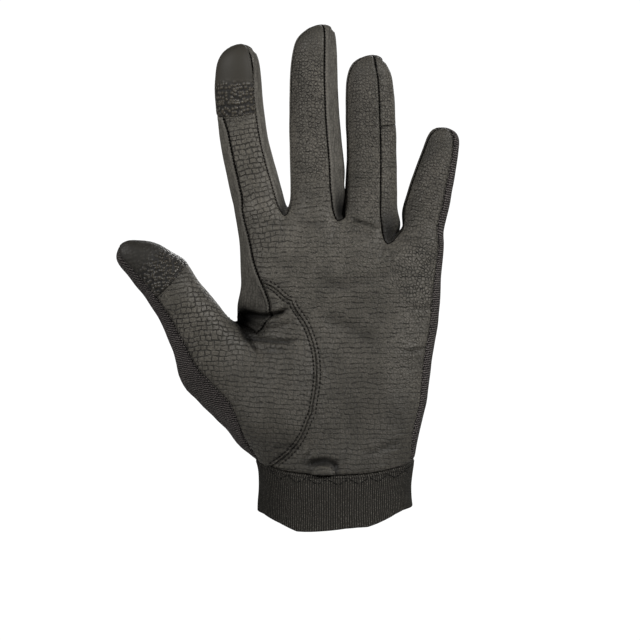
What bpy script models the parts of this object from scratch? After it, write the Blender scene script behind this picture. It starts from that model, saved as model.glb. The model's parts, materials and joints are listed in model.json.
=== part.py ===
# Left-hand riding glove, worn shape, held open as on a hand.
# The palm faces -Y, the fingers point up +Z, the thumb points to -X.
# The origin is the centre of the wrist opening, and all sizes are metres.
#
# One coarse cage runs through the whole glove: cuff, hand, four fingers and thumb.
# It is smoothed into one skin, and each sewn panel is a patch of that skin given its
# own wall thickness, with a narrow seam gap to its neighbours.

import math

import bmesh
import bpy
from mathutils import Vector, kdtree
from mathutils.bvhtree import BVHTree

# Walls, seams and the raised touch patches
LEATHER_WALL = 0.0011
KNIT_WALL = 0.0010
CUFF_WALL = 0.0018
SEAM_GAP = 0.0003
PATCH_STEP = 0.0004

# Cuff band, an elastic tube that tilts back with the forearm
CUFF_WIDTH = 0.0636
CUFF_DEPTH = 0.0440
CUFF_HEIGHT = 0.0205
CUFF_WAIST = 0.975
CUFF_CENTRE_X = 0.0006
HEM_TILT = 22.5
HEM_ROLL = 1.8
SEAM_TILT = 17.0
HEM_FLATNESS = 0.30
HEM_POWER = 2.8

# Hand body, from the wrist seam to the finger roots
PALM_WIDTH = 0.083
PALM_LENGTH = 0.099
PALM_DEPTH = 0.032

# Back seams lie this share of the half width from the middle of the back
BACK_SEAM_SHARE = 0.88

# Rows of the hand body, wrist seam last. up_... are shares of PALM_LENGTH above the wrist
# seam, radial to ulnar are shares of PALM_WIDTH from the glove's middle line, and front
# and back are shares of PALM_DEPTH. radial and ulnar are the hand's two sides, inner is the
# seam on the thumb's side, arc is the curved thumb seam, and outer is the seam on the
# little finger's side.
ROW_COLUMNS = ("name", "up_radial", "up_inner", "up_arc", "up_outer",
               "radial", "inner", "arc", "outer", "ulnar", "front", "back")
PALM_ROWS = [
    ("knuckle", 0.860, 0.850, 0.830, 0.815, -0.457, -0.400, -0.215, 0.519, 0.536, 0.42, 0.40),
    ("web_top", 0.713, 0.730, 0.651, 0.693, -0.455, -0.353, -0.205, 0.496, 0.528, 0.43, 0.45),
    ("web", 0.622, 0.610, 0.572, 0.593, -0.455, -0.299, -0.151, 0.482, 0.517, 0.44, 0.48),
    ("thumb_top", 0.560, 0.519, 0.485, 0.494, -0.474, -0.372, -0.101, 0.469, 0.506, 0.46, 0.50),
    ("thumb_mid", 0.361, 0.361, 0.353, 0.361, -0.530, -0.432, -0.074, 0.437, 0.479, 0.48, 0.53),
    ("thumb_low", 0.270, 0.208, 0.190, 0.208, -0.700, -0.501, -0.105, 0.420, 0.449, 0.50, 0.56),
    ("heel", 0.125, 0.096, 0.070, 0.092, -0.540, -0.427, -0.190, 0.388, 0.420, 0.54, 0.60),
]
PALM_POWER = 2.6

# Swells and hollows of the palm side. x is a share of PALM_WIDTH, up, wide and tall are
# shares of PALM_LENGTH, and height is a share of PALM_DEPTH, positive towards the palm's front.
SWELL_COLUMNS = ("name", "x", "up", "wide", "tall", "height")
PALM_SWELLS = [
    ("thenar", -0.310, 0.270, 0.190, 0.250, 0.20),
    ("heel_of_hand", 0.270, 0.260, 0.170, 0.260, 0.11),
    ("palm_hollow", 0.060, 0.480, 0.170, 0.200, -0.09),
    ("web_hollow", -0.330, 0.520, 0.090, 0.060, -0.13),
]

# Where neighbouring fingers part: x and up on the palm side, at mid depth and at the back,
# as shares of PALM_WIDTH and PALM_LENGTH. depth is a share of PALM_DEPTH.
CROTCH_COLUMNS = ("name", "x", "up", "mid_x", "mid_up", "back_x", "back_up", "depth")
CROTCHES = [
    ("index_middle", -0.245, 1.000, -0.230, 1.030, -0.220, 1.015, 0.26),
    ("middle_ring", 0.017, 0.982, 0.047, 1.015, 0.072, 1.005, 0.26),
    ("ring_little", 0.261, 0.874, 0.294, 0.915, 0.318, 0.905, 0.26),
]
# The two sides of the hand at the finger roots
ROOT_SIDES = dict(inner_x=-0.445, inner_up=1.020, radial_x=-0.479, radial_up=1.024,
                  outer_x=0.530, outer_up=0.893, ulnar_x=0.541, ulnar_up=0.900,
                  back_inner_x=-0.434, back_outer_x=0.500)
ROOT_DEPTH_SHARE = 0.54
SIDE_SEAM_DEPTH_SHARE = 0.21

# Digits. x and up place the root's centre, as shares of PALM_WIDTH and PALM_LENGTH. lean is
# the angle from upright towards the little finger and curl the angle towards the palm's
# front, each in degrees at the root and at the tip. The angles of the two palm-side seams
# are counted round the section from the little finger's side.
DIGIT_COLUMNS = ("name", "x", "up", "forward", "length", "width", "taper", "lean_root", "lean_tip",
                 "lean_ease", "curl_root", "curl_tip", "tip_drift", "seam_near", "seam_far")
DIGITS = [
    ("index", -0.345, 1.016, 0.0000, 0.0703, 0.0208, -0.040, -20.0, 3.0, 1.0, 3.0, 15.0, 0.30, 48.0, 127.0),
    ("middle", -0.070, 0.993, 0.0005, 0.0800, 0.0224, 0.015, -4.5, 1.5, 1.0, 2.0, 14.0, 0.38, 63.0, 172.0),
    ("ring", 0.182, 0.940, 0.0000, 0.0730, 0.0211, -0.020, 3.0, -4.0, 1.0, 2.0, 15.0, 0.28, 69.0, 172.0),
    ("little", 0.422, 0.908, -0.0005, 0.0477, 0.0186, 0.090, 14.0, 14.5, 1.0, 4.0, 18.0, 0.00, 42.0, 168.0),
    ("thumb", -0.521, 0.361, 0.0040, 0.0696, 0.0285, 0.000, -32.8, -60.0, 2.3, 8.0, 16.0, 0.20, 40.0, 129.0),
]
BACK_SEAM_ANGLE = 46.0

# Sections along a digit: along is a share of its length, width a share of its root width,
# depth a share of the section's own width, and drift and taper are shares of the digit's own.
SECTION_COLUMNS = ("along", "width", "depth", "drift", "taper")
FINGER_SECTIONS = [
    (0.12, 0.985, 0.86, 0.00, 0.0),
    (0.28, 0.955, 0.85, 0.00, 0.0),
    (0.44, 0.925, 0.83, 0.00, 0.1),
    (0.60, 0.900, 0.82, 0.00, 0.5),
    (0.75, 0.865, 0.80, 0.00, 1.0),
    (0.88, 0.790, 0.78, 0.10, 1.0),
    (0.96, 0.560, 0.76, 0.40, 0.7),
]
THUMB_SECTIONS = [
    (0.26, 0.940, 0.86, 0.00, 0.0),
    (0.44, 0.810, 0.88, 0.00, 0.0),
    (0.65, 0.760, 0.86, 0.10, 0.0),
    (0.79, 0.665, 0.82, 0.40, 0.0),
    (0.92, 0.490, 0.78, 0.80, 0.0),
]
# The touch patches start at these sections, counted from the root
INDEX_PATCH_SECTION = 3
THUMB_PATCH_SECTION = 2
# The ring finger's side strip is pieced at this section
RING_STRIP_SECTION = 3

# Half-moon tab at the wrist seam
TAB_WIDTH = 0.0105
TAB_HEIGHT = 0.0034
TAB_WALL = 0.0010
TAB_X = -0.0046
TAB_UP = 0.0012
TAB_END_SHARE = 0.18
TAB_STEPS = 10

SKIN_LEVELS = 1
FIT_ROUNDS = 8
FRONT_COLUMNS = 9
RING_OF_EIGHT = 8

# Panels: name, wall, step above the skin, colour, roughness
LEATHER_COLOUR = (0.070, 0.066, 0.058)
PATCH_COLOUR = (0.040, 0.036, 0.029)
KNIT_COLOUR = (0.026, 0.024, 0.023)
CUFF_COLOUR = (0.030, 0.029, 0.026)
STRIP_COLOUR = (0.068, 0.064, 0.056)
PANEL_COLUMNS = ("name", "wall", "step", "colour", "roughness")
PANELS = [
    ("palm_panel", LEATHER_WALL, 0.0, LEATHER_COLOUR, 0.62),
    ("thumb_panel", LEATHER_WALL, 0.0, LEATHER_COLOUR, 0.62),
    ("back_panel", KNIT_WALL, 0.0, KNIT_COLOUR, 0.9),
    ("index_side_wall", LEATHER_WALL, 0.0, STRIP_COLOUR, 0.7),
    ("sidewall_index_middle", LEATHER_WALL, 0.0, STRIP_COLOUR, 0.7),
    ("sidewall_middle_ring", LEATHER_WALL, 0.0, STRIP_COLOUR, 0.7),
    ("sidewall_ring_little", LEATHER_WALL, 0.0, LEATHER_COLOUR, 0.62),
    ("sidewall_ring_tip", LEATHER_WALL, 0.0, LEATHER_COLOUR, 0.62),
    ("index_touch_patch", LEATHER_WALL, PATCH_STEP, PATCH_COLOUR, 0.75),
    ("thumb_touch_patch", LEATHER_WALL, PATCH_STEP, PATCH_COLOUR, 0.75),
    ("cuff", CUFF_WALL, 0.0, CUFF_COLOUR, 0.92),
]


def named(columns, row):
    return dict(zip(columns, row))


def wrist_seam_height():
    return CUFF_HEIGHT


def palm_x(share):
    return share * PALM_WIDTH


def palm_z(share):
    return wrist_seam_height() + share * PALM_LENGTH


def swell(x, z):
    """How far the palm's swells and hollows push the front surface out at a place."""
    total = 0.0
    for row in PALM_SWELLS:
        bump = named(SWELL_COLUMNS, row)
        across = (x - palm_x(bump["x"])) / (bump["wide"] * PALM_LENGTH)
        along = (z - palm_z(bump["up"])) / (bump["tall"] * PALM_LENGTH)
        total += bump["height"] * PALM_DEPTH * math.exp(-(across * across + along * along))
    return total


def round_depth(share, power):
    """Depth of a rounded section at a share of its half width, as a share of its half depth."""
    inside = max(0.0, 1.0 - min(1.0, abs(share)) ** power)
    return inside ** (1.0 / power)


def between(low, high, share):
    return low + (high - low) * share


class Cage:
    """Points, faces and panel names of the coarse cage."""

    def __init__(self):
        self.points = []
        self.faces = []
        self.panels = []

    def point(self, x, y, z):
        self.points.append(Vector((x, y, z)))
        return len(self.points) - 1

    def face(self, panel, *corners):
        self.faces.append(corners)
        self.panels.append(panel)


def front_columns(row):
    """The nine front points of a hand row, inner seam to outer seam."""
    xs = [palm_x(row["inner"]), palm_x(between(row["inner"], row["arc"], 0.5)), palm_x(row["arc"])]
    zs = [palm_z(row["up_inner"]), palm_z(between(row["up_inner"], row["up_arc"], 0.55)), palm_z(row["up_arc"])]
    rest = FRONT_COLUMNS - len(xs)
    for step in range(1, rest + 1):
        share = step / rest
        xs.append(palm_x(between(row["arc"], row["outer"], share)))
        lift = share if step > 1 else 0.45
        zs.append(palm_z(between(row["up_arc"], row["up_outer"], lift)))
    return xs, zs


def hand_row(cage, row):
    """One ring of twenty points round the hand: front, little finger's side, back, thumb's side."""
    middle = palm_x((row["radial"] + row["ulnar"]) / 2)
    half = (row["ulnar"] - row["radial"]) / 2 * PALM_WIDTH
    front = row["front"] * PALM_DEPTH
    back = row["back"] * PALM_DEPTH
    ring = []
    for x, z in zip(*front_columns(row)):
        depth = front * round_depth((x - middle) / half, PALM_POWER)
        ring.append(cage.point(x, -depth - swell(x, z), z))
    ring.append(cage.point(palm_x(row["ulnar"]), 0.0, palm_z(row["up_outer"])))
    for step in range(FRONT_COLUMNS):
        share = BACK_SEAM_SHARE * (1.0 - 2.0 * step / (FRONT_COLUMNS - 1))
        x = middle + share * half
        z = palm_z(between(row["up_outer"], row["up_radial"], step / (FRONT_COLUMNS - 1)))
        ring.append(cage.point(x, back * round_depth(share, PALM_POWER), z))
    ring.append(cage.point(palm_x(row["radial"]), 0.0, palm_z(row["up_radial"])))
    return ring


def cuff_ring(cage, height, width, depth, tilt, roll, flatness):
    """A tilted ring of the wrist, with the same twenty points as a hand row."""
    ring = []
    slope = math.tan(math.radians(tilt))
    roll_slope = math.tan(math.radians(roll))
    angles = [163.0, 155.0, 145.0]
    angles += [between(145.0, 17.0, step / 6) for step in range(1, 7)]
    angles += [-4.0]
    angles += [between(-25.0, -155.0, step / 8) for step in range(9)]
    angles += [-178.0]
    for angle in angles:
        cosine = math.cos(math.radians(angle))
        x = CUFF_CENTRE_X + width / 2 * cosine
        flat = max(0.0, 1.0 - abs(cosine) ** HEM_POWER)
        share = between(round_depth(cosine, 2.0), flat, flatness)
        side = -1.0 if angle > 0 else 1.0
        y = side * depth / 2 * share
        ring.append(cage.point(x, y, height + slope * y + roll_slope * x))
    return ring


def root_row(cage):
    """The ring at the finger roots, and the three mid-depth points between the fingers."""
    side = SIDE_SEAM_DEPTH_SHARE * PALM_DEPTH
    crotches = [named(CROTCH_COLUMNS, row) for row in CROTCHES]
    fingers = [named(DIGIT_COLUMNS, row) for row in DIGITS[:4]]
    sides = ROOT_SIDES
    ring = [cage.point(palm_x(sides["inner_x"]), -side, palm_z(sides["inner_up"]))]
    left = (sides["inner_x"], sides["inner_up"])
    for number, finger in enumerate(fingers):
        if number < len(crotches):
            right = (crotches[number]["x"], crotches[number]["up"])
        else:
            right = (sides["outer_x"], sides["outer_up"])
        x = palm_x(between(left[0], right[0], 0.5))
        front = ROOT_DEPTH_SHARE * finger["width"]
        ring.append(cage.point(x, -front, palm_z(between(left[1], right[1], 0.5))))
        depth = crotches[number]["depth"] * PALM_DEPTH if number < len(crotches) else side
        ring.append(cage.point(palm_x(right[0]), -depth, palm_z(right[1])))
        left = right
    ring.append(cage.point(palm_x(sides["ulnar_x"]), 0.0, palm_z(sides["ulnar_up"])))
    ring.append(cage.point(palm_x(sides["back_outer_x"]), side, palm_z(sides["ulnar_up"])))
    right = (sides["back_outer_x"], sides["ulnar_up"])
    for number in (3, 2, 1, 0):
        if number:
            left = (crotches[number - 1]["back_x"], crotches[number - 1]["back_up"])
            depth = crotches[number - 1]["depth"] * PALM_DEPTH
        else:
            left = (sides["back_inner_x"], sides["radial_up"])
            depth = side
        x = palm_x(between(left[0], right[0], 0.5))
        back = ROOT_DEPTH_SHARE * fingers[number]["width"]
        ring.append(cage.point(x, back, palm_z(between(left[1], right[1], 0.5))))
        ring.append(cage.point(palm_x(left[0]), depth, palm_z(left[1])))
        right = left
    ring.append(cage.point(palm_x(sides["radial_x"]), 0.0, palm_z(sides["radial_up"])))
    middles = [cage.point(palm_x(c["mid_x"]), 0.0, palm_z(c["mid_up"])) for c in crotches]
    return ring, middles


def digit_frames(digit, sections):
    """Centre, sideways and forward directions of each section, and the tip, along the bent centre line."""
    stops = [named(SECTION_COLUMNS, row)["along"] for row in sections] + [1.0]
    place = Vector((palm_x(digit["x"]), -digit["forward"], palm_z(digit["up"])))
    frames = []
    done = 0.0
    steps_per_stop = 6
    for stop in stops:
        for step in range(steps_per_stop):
            along = done + (stop - done) * (step + 0.5) / steps_per_stop
            lean = math.radians(between(digit["lean_root"], digit["lean_tip"], along ** digit["lean_ease"]))
            curl = math.radians(between(digit["curl_root"], digit["curl_tip"], along))
            ahead = Vector((math.sin(lean) * math.cos(curl), -math.sin(curl), math.cos(lean) * math.cos(curl)))
            place = place + ahead * digit["length"] * (stop - done) / steps_per_stop
        sideways = Vector((math.cos(lean), 0.0, -math.sin(lean)))
        forward = sideways.cross(ahead).normalized()
        if forward.y > 0:
            forward = -forward
        frames.append((place.copy(), sideways, forward))
        done = stop
    return frames


def seam_angles(digit):
    """The eight section angles: front, far seam first, then the little finger's side, back and thumb's side."""
    near, far, back = digit["seam_near"], digit["seam_far"], BACK_SEAM_ANGLE
    return [far, (far + near) / 2, near, (near - back) / 2,
            -back, -90.0, back - 180.0, (far - 360.0 + back - 180.0) / 2]


def digit_rings(cage, digit, sections):
    """The section rings of a digit, eight points each, and its tip point."""
    frames = digit_frames(digit, sections)
    rings = []
    for row, (place, sideways, forward) in zip(sections, frames):
        section = named(SECTION_COLUMNS, row)
        half = (section["width"] - section["taper"] * digit["taper"]) * digit["width"] / 2
        depth = half * section["depth"]
        centre = place + sideways * half * section["drift"] * digit["tip_drift"]
        ring = []
        for angle in seam_angles(digit):
            turn = math.radians(angle)
            spot = centre + sideways * half * math.cos(turn) + forward * depth * math.sin(turn)
            ring.append(cage.point(*spot))
        rings.append(ring)
    place, sideways, _ = frames[-1]
    last = named(SECTION_COLUMNS, sections[-1])
    tip = place + sideways * last["width"] * digit["width"] / 2 * digit["tip_drift"]
    return rings, cage.point(*tip)


def cover_digit(cage, root, rings, tip, panel_of):
    """Faces of a digit. panel_of gives the panel's name for a band and one of the eight sides."""
    bands = [root] + rings
    for band, (low, high) in enumerate(zip(bands, bands[1:])):
        for side in range(RING_OF_EIGHT):
            after = (side + 1) % RING_OF_EIGHT
            cage.face(panel_of(band, side), low[side], low[after], high[after], high[side])
    last = bands[-1]
    for side in range(RING_OF_EIGHT):
        cage.face(panel_of(len(bands) - 1, side), last[side], last[(side + 1) % RING_OF_EIGHT], tip)


def finger_panels(name, near_strip, far_strip):
    """Which panel each face of a finger belongs to: sides 0 and 1 are the palm side."""
    def panel_of(band, side):
        if name == "index" and band > INDEX_PATCH_SECTION and side in (0, 1, 7):
            return "index_touch_patch"
        if side in (0, 1):
            return "palm_panel"
        last_band = len(FINGER_SECTIONS)
        if side == 2 or (side == 3 and band < last_band):
            if name == "ring" and band > RING_STRIP_SECTION:
                return "sidewall_ring_tip"
            return near_strip
        if side == 7 or (side == 6 and band < last_band):
            return far_strip
        return "back_panel"
    return panel_of


def thumb_panels(band, side):
    if side in (0, 1, 2):
        return "thumb_touch_patch" if band > THUMB_PATCH_SECTION else "thumb_panel"
    return "back_panel"


def body_panel(row, column):
    """Panel of a hand face: row counts bands from the finger roots, column counts round from the inner seam."""
    web_top, web_bottom, heel_top = 2, 4, 6
    if column < 2:
        return "palm_panel" if row < web_top else "thumb_panel"
    if column < FRONT_COLUMNS - 1:
        return "palm_panel"
    if column >= 18 and row < web_bottom:
        return "index_side_wall"
    return "back_panel"


def build_cage():
    cage = Cage()
    top, middles = root_row(cage)
    rows = [top] + [hand_row(cage, named(ROW_COLUMNS, row)) for row in PALM_ROWS]
    seam = wrist_seam_height()
    middle_width, middle_depth = CUFF_WIDTH * CUFF_WAIST, CUFF_DEPTH * CUFF_WAIST
    middle_tilt = between(SEAM_TILT, HEM_TILT, 0.5)
    rows.append(cuff_ring(cage, seam, CUFF_WIDTH, CUFF_DEPTH, SEAM_TILT, 0.0, 0.0))
    rows.append(cuff_ring(cage, seam / 2, middle_width, middle_depth, middle_tilt, HEM_ROLL / 2, HEM_FLATNESS / 2))
    rows.append(cuff_ring(cage, 0.0, CUFF_WIDTH, CUFF_DEPTH, HEM_TILT, HEM_ROLL, HEM_FLATNESS))
    count = len(top)
    thumb_columns = (18, 19)
    thumb_bands = (4, 5)
    cuff_bands = (8, 9)
    for band, (high, low) in enumerate(zip(rows, rows[1:])):
        for column in range(count):
            if band in thumb_bands and column in thumb_columns:
                continue
            after = (column + 1) % count
            panel = "cuff" if band in cuff_bands else body_panel(band, column)
            cage.face(panel, high[column], low[column], low[after], high[after])
    strips = ["index_side_wall", "sidewall_index_middle", "sidewall_middle_ring", "sidewall_ring_little"]
    for number in range(4):
        digit = named(DIGIT_COLUMNS, DIGITS[number])
        front = top[2 * number:2 * number + 3]
        back = [top[18 - 2 * number - 2], top[18 - 2 * number - 1], top[18 - 2 * number]]
        near_middle = middles[number] if number < 3 else top[9]
        far_middle = middles[number - 1] if number else top[19]
        root = [front[0], front[1], front[2], near_middle, back[0], back[1], back[2], far_middle]
        rings, tip = digit_rings(cage, digit, FINGER_SECTIONS)
        near_strip = strips[number + 1] if number < 3 else "back_panel"
        cover_digit(cage, root, rings, tip, finger_panels(digit["name"], near_strip, strips[number]))
    digit = named(DIGIT_COLUMNS, DIGITS[4])
    high, middle, low = rows[4], rows[5], rows[6]
    root = [low[0], middle[0], high[0], high[19], high[18], middle[18], low[18], low[19]]
    rings, tip = digit_rings(cage, digit, THUMB_SECTIONS)
    cover_digit(cage, root, rings, tip, thumb_panels)
    return cage


def cage_object(cage):
    mesh = bpy.data.meshes.new("cage")
    mesh.from_pydata([tuple(p) for p in cage.points], [], cage.faces)
    names = [named(PANEL_COLUMNS, row)["name"] for row in PANELS]
    for polygon, panel in zip(mesh.polygons, cage.panels):
        polygon.material_index = names.index(panel)
    for _ in names:
        mesh.materials.append(None)
    obj = bpy.data.objects.new("cage", mesh)
    guides.objects.link(obj)
    obj.hide_render = True
    obj.display_type = "WIRE"
    smooth = obj.modifiers.new("smooth_skin", "SUBSURF")
    smooth.levels = SKIN_LEVELS
    smooth.render_levels = SKIN_LEVELS
    smooth.use_limit_surface = True
    return obj


def evaluated_points(obj, count):
    bpy.context.view_layer.update()
    mesh = obj.evaluated_get(bpy.context.evaluated_depsgraph_get()).to_mesh()
    return [mesh.vertices[number].co.copy() for number in range(count)]


def fit_cage(obj, targets):
    """Moves the cage until the smooth skin passes through the points that the tables give."""
    for _ in range(FIT_ROUNDS):
        reached = evaluated_points(obj, len(targets))
        for vertex, target, now in zip(obj.data.vertices, targets, reached):
            vertex.co = vertex.co + (target - now)
        obj.data.update()


def skin_mesh(obj):
    bpy.context.view_layer.update()
    evaluated = obj.evaluated_get(bpy.context.evaluated_depsgraph_get())
    skin = bmesh.new()
    skin.from_mesh(evaluated.to_mesh())
    bmesh.ops.recalc_face_normals(skin, faces=skin.faces)
    skin.normal_update()
    return skin


def panel_sheet(skin, number):
    """The skin's faces of one panel, drawn in from its seams by half the seam gap."""
    sheet = skin.copy()
    others = [face for face in sheet.faces if face.material_index != number]
    bmesh.ops.delete(sheet, geom=others, context="FACES")
    ring = bmesh.ops.inset_region(sheet, faces=sheet.faces[:], use_boundary=True, use_even_offset=True,
                                  thickness=SEAM_GAP / 2, depth=0.0)
    bmesh.ops.delete(sheet, geom=ring["faces"], context="FACES")
    return sheet


def skin_normals(skin):
    """A search tree of the skin's points, with the shared normal at each."""
    tree = kdtree.KDTree(len(skin.verts))
    normals = []
    for vertex in skin.verts:
        tree.insert(vertex.co, vertex.index)
        normals.append(vertex.normal.copy())
    tree.balance()
    return tree, normals


def give_wall(sheet, tree, normals, wall, step):
    """Thickens a sheet inwards by its wall, along the skin's shared normals, so that neighbours never meet."""
    place = sheet.verts.layers.int.new("place_on_skin")
    for vertex in sheet.verts:
        vertex[place] = tree.find(vertex.co)[1]
    made = bmesh.ops.extrude_face_region(sheet, geom=sheet.faces[:], use_keep_orig=True)
    inner = {item for item in made["geom"] if isinstance(item, bmesh.types.BMVert)}
    rims = [face for face in sheet.faces if sum(vertex in inner for vertex in face.verts) == 2]
    for vertex in sheet.verts:
        vertex.co = vertex.co + normals[vertex[place]] * (-wall if vertex in inner else step)
    for face in rims:
        outer = min((vertex for vertex in face.verts if vertex not in inner), key=lambda vertex: vertex[place])
        across = max((vertex for vertex in face.verts if vertex in inner), key=lambda vertex: vertex[place])
        if outer[place] != across[place]:
            bmesh.utils.face_split(face, outer, across)
    bmesh.ops.recalc_face_normals(sheet, faces=sheet.faces[:])


def tab_sheet(skin):
    """The half-moon tab, laid on the palm side just above the wrist seam and thickened outwards."""
    surface = BVHTree.FromBMesh(skin)
    foot = wrist_seam_height() - math.tan(math.radians(SEAM_TILT)) * CUFF_DEPTH / 2 + TAB_UP
    sheet = bmesh.new()
    bmesh.ops.create_grid(sheet, x_segments=TAB_STEPS, y_segments=2, size=0.5)
    normals = {}
    for vertex in sheet.verts:
        across, up = vertex.co.x * 2, vertex.co.y + 0.5
        dome = between(TAB_END_SHARE, 1.0, math.sqrt(max(0.0, 1.0 - across * across)))
        start = Vector((TAB_X + across * TAB_WIDTH / 2, -1.0, foot + up * TAB_HEIGHT * dome))
        place, normal, _, _ = surface.ray_cast(start, Vector((0.0, 1.0, 0.0)))
        normals[vertex] = normal
        vertex.co = place + normal * SEAM_GAP
    paired = {tuple(vertex.co): normal for vertex, normal in normals.items()}
    made = bmesh.ops.extrude_face_region(sheet, geom=sheet.faces[:], use_keep_orig=True)
    for vertex in [item for item in made["geom"] if isinstance(item, bmesh.types.BMVert)]:
        vertex.co = vertex.co + paired[tuple(vertex.co)] * TAB_WALL
    bmesh.ops.recalc_face_normals(sheet, faces=sheet.faces[:])
    return sheet


def panel_material(name, colour, roughness):
    material = bpy.data.materials.new(name)
    material.use_nodes = True
    shader = material.node_tree.nodes["Principled BSDF"]
    shader.inputs["Base Color"].default_value = (*colour, 1.0)
    shader.inputs["Roughness"].default_value = roughness
    shader.inputs["Metallic"].default_value = 0.0
    return material


def panel_object(name, sheet, colour, roughness):
    mesh = bpy.data.meshes.new(name)
    for face in sheet.faces:
        face.material_index = 0
    sheet.to_mesh(mesh)
    sheet.free()
    mesh.materials.append(panel_material(name, colour, roughness))
    mesh.shade_smooth()
    mesh.set_sharp_from_angle(angle=math.radians(50))
    obj = bpy.data.objects.new(name, mesh)
    glove.objects.link(obj)
    return obj


def start_collections():
    for obj in list(bpy.data.objects):
        bpy.data.objects.remove(obj, do_unlink=True)
    made = []
    for name in ("riding_glove", "guides"):
        collection = bpy.data.collections.new(name)
        bpy.context.scene.collection.children.link(collection)
        made.append(collection)
    return made


glove, guides = start_collections()
cage = build_cage()
guide = cage_object(cage)
fit_cage(guide, cage.points)
skin = skin_mesh(guide)
tree, normals = skin_normals(skin)
for number, row in enumerate(PANELS):
    panel = named(PANEL_COLUMNS, row)
    sheet = panel_sheet(skin, number)
    give_wall(sheet, tree, normals, panel["wall"], panel["step"])
    panel_object(panel["name"], sheet, panel["colour"], panel["roughness"])
panel_object("wrist_tab", tab_sheet(skin), PATCH_COLOUR, 0.6)
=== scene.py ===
import json
import math

import bmesh
import bpy
import numpy as np
from mathutils import Matrix, Vector, kdtree, noise
from mathutils.bvhtree import BVHTree

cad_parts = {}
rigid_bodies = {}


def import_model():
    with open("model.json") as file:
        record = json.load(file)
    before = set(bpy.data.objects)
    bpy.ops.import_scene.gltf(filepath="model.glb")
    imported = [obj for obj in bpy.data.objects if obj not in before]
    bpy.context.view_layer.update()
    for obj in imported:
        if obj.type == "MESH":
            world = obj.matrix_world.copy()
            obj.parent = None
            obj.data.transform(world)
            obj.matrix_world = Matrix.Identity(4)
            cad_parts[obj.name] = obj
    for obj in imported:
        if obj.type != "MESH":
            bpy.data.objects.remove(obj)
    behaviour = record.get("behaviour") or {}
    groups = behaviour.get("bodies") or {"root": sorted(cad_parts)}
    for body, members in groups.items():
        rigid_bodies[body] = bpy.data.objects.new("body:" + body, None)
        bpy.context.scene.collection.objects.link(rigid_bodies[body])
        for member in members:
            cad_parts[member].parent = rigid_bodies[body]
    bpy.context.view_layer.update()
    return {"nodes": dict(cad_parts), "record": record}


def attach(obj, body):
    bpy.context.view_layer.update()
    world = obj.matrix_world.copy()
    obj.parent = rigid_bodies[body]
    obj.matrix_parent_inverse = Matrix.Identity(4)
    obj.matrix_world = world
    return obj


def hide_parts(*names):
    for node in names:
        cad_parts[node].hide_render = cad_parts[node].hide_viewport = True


for startObject in list(bpy.data.objects):
    bpy.data.objects.remove(startObject, do_unlink=True)

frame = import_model()
print("frame loaded:", len(frame["nodes"]), "nodes")

mm = 0.001
black = (0.0, 0.0, 0.0)


def table(columns, lines):
    # a dictionary for each line, which may leave out the last columns
    return [dict(zip(columns.split(), line)) for line in lines]


def smoothStep(low, high, values):
    share = np.clip((values - low) / (high - low), 0.0, 1.0)
    return share * share * (3.0 - 2.0 * share)


def bell(distance, width):
    return np.exp(-(distance / width) ** 2)


def awayFrom(points, spot):
    # distance from a spot given in mm, seen from the palm side
    return np.hypot(points[:, 0] - spot["x"] * mm, points[:, 2] - spot["z"] * mm)


def readNumbers(collection, name, kind=float, each=1):
    found = np.empty(len(collection) * each, kind)
    collection.foreach_get(name, found)
    return found if each == 1 else found.reshape(-1, each)


def fromPalmSide(surface, x, z):
    # the first point of a surface that is seen from the palm side at x and z in mm
    return surface.ray_cast(Vector((x * mm, -0.1, z * mm)), Vector((0, 1, 0)))[0]


def addObject(name, data):
    made = bpy.data.objects.new(name, data)
    bpy.context.scene.collection.objects.link(made)
    return made


# the skin: every panel's outer side, sewn back into one smooth surface

skinSettings = {
    "looseTriangles": 0.02 * mm,  # a node's triangles are merged at this distance
    "wallSlack": 0.005 * mm,      # an edge this near the wall's thickness crosses the wall
    "acrossSeams": 0.5 * mm,      # neighbouring panels are merged at this distance
    "fineLevels": 3,
    "plainLevels": 2,
    "patchStep": 0.4 * mm,        # the touch patches lie this much above the leather
}
walls = {
    "palm_panel": 1.1 * mm, "thumb_panel": 1.1 * mm, "back_panel": 1.0 * mm,
    "index_side_wall": 1.1 * mm, "sidewall_index_middle": 1.1 * mm,
    "sidewall_middle_ring": 1.1 * mm, "sidewall_ring_little": 1.1 * mm,
    "sidewall_ring_tip": 1.1 * mm, "index_touch_patch": 1.5 * mm,
    "thumb_touch_patch": 1.5 * mm, "cuff": 1.8 * mm,
}
panelNames = list(walls)
patchNames = ("index_touch_patch", "thumb_touch_patch")


def hollowCentres():
    found = []
    for opening in frame["record"]["physics"]["openings"]:
        if not opening["name"].startswith("between"):
            low, high = opening["box_m"]
            found.append((Vector(low) + Vector(high)) / 2)
    return found


def connectedFaces(bm):
    waiting = set(bm.faces)
    groups = []
    while waiting:
        group = [waiting.pop()]
        for face in group:
            for edge in face.edges:
                for other in edge.link_faces:
                    if other in waiting:
                        waiting.discard(other)
                        group.append(other)
        groups.append(group)
    return groups


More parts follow.
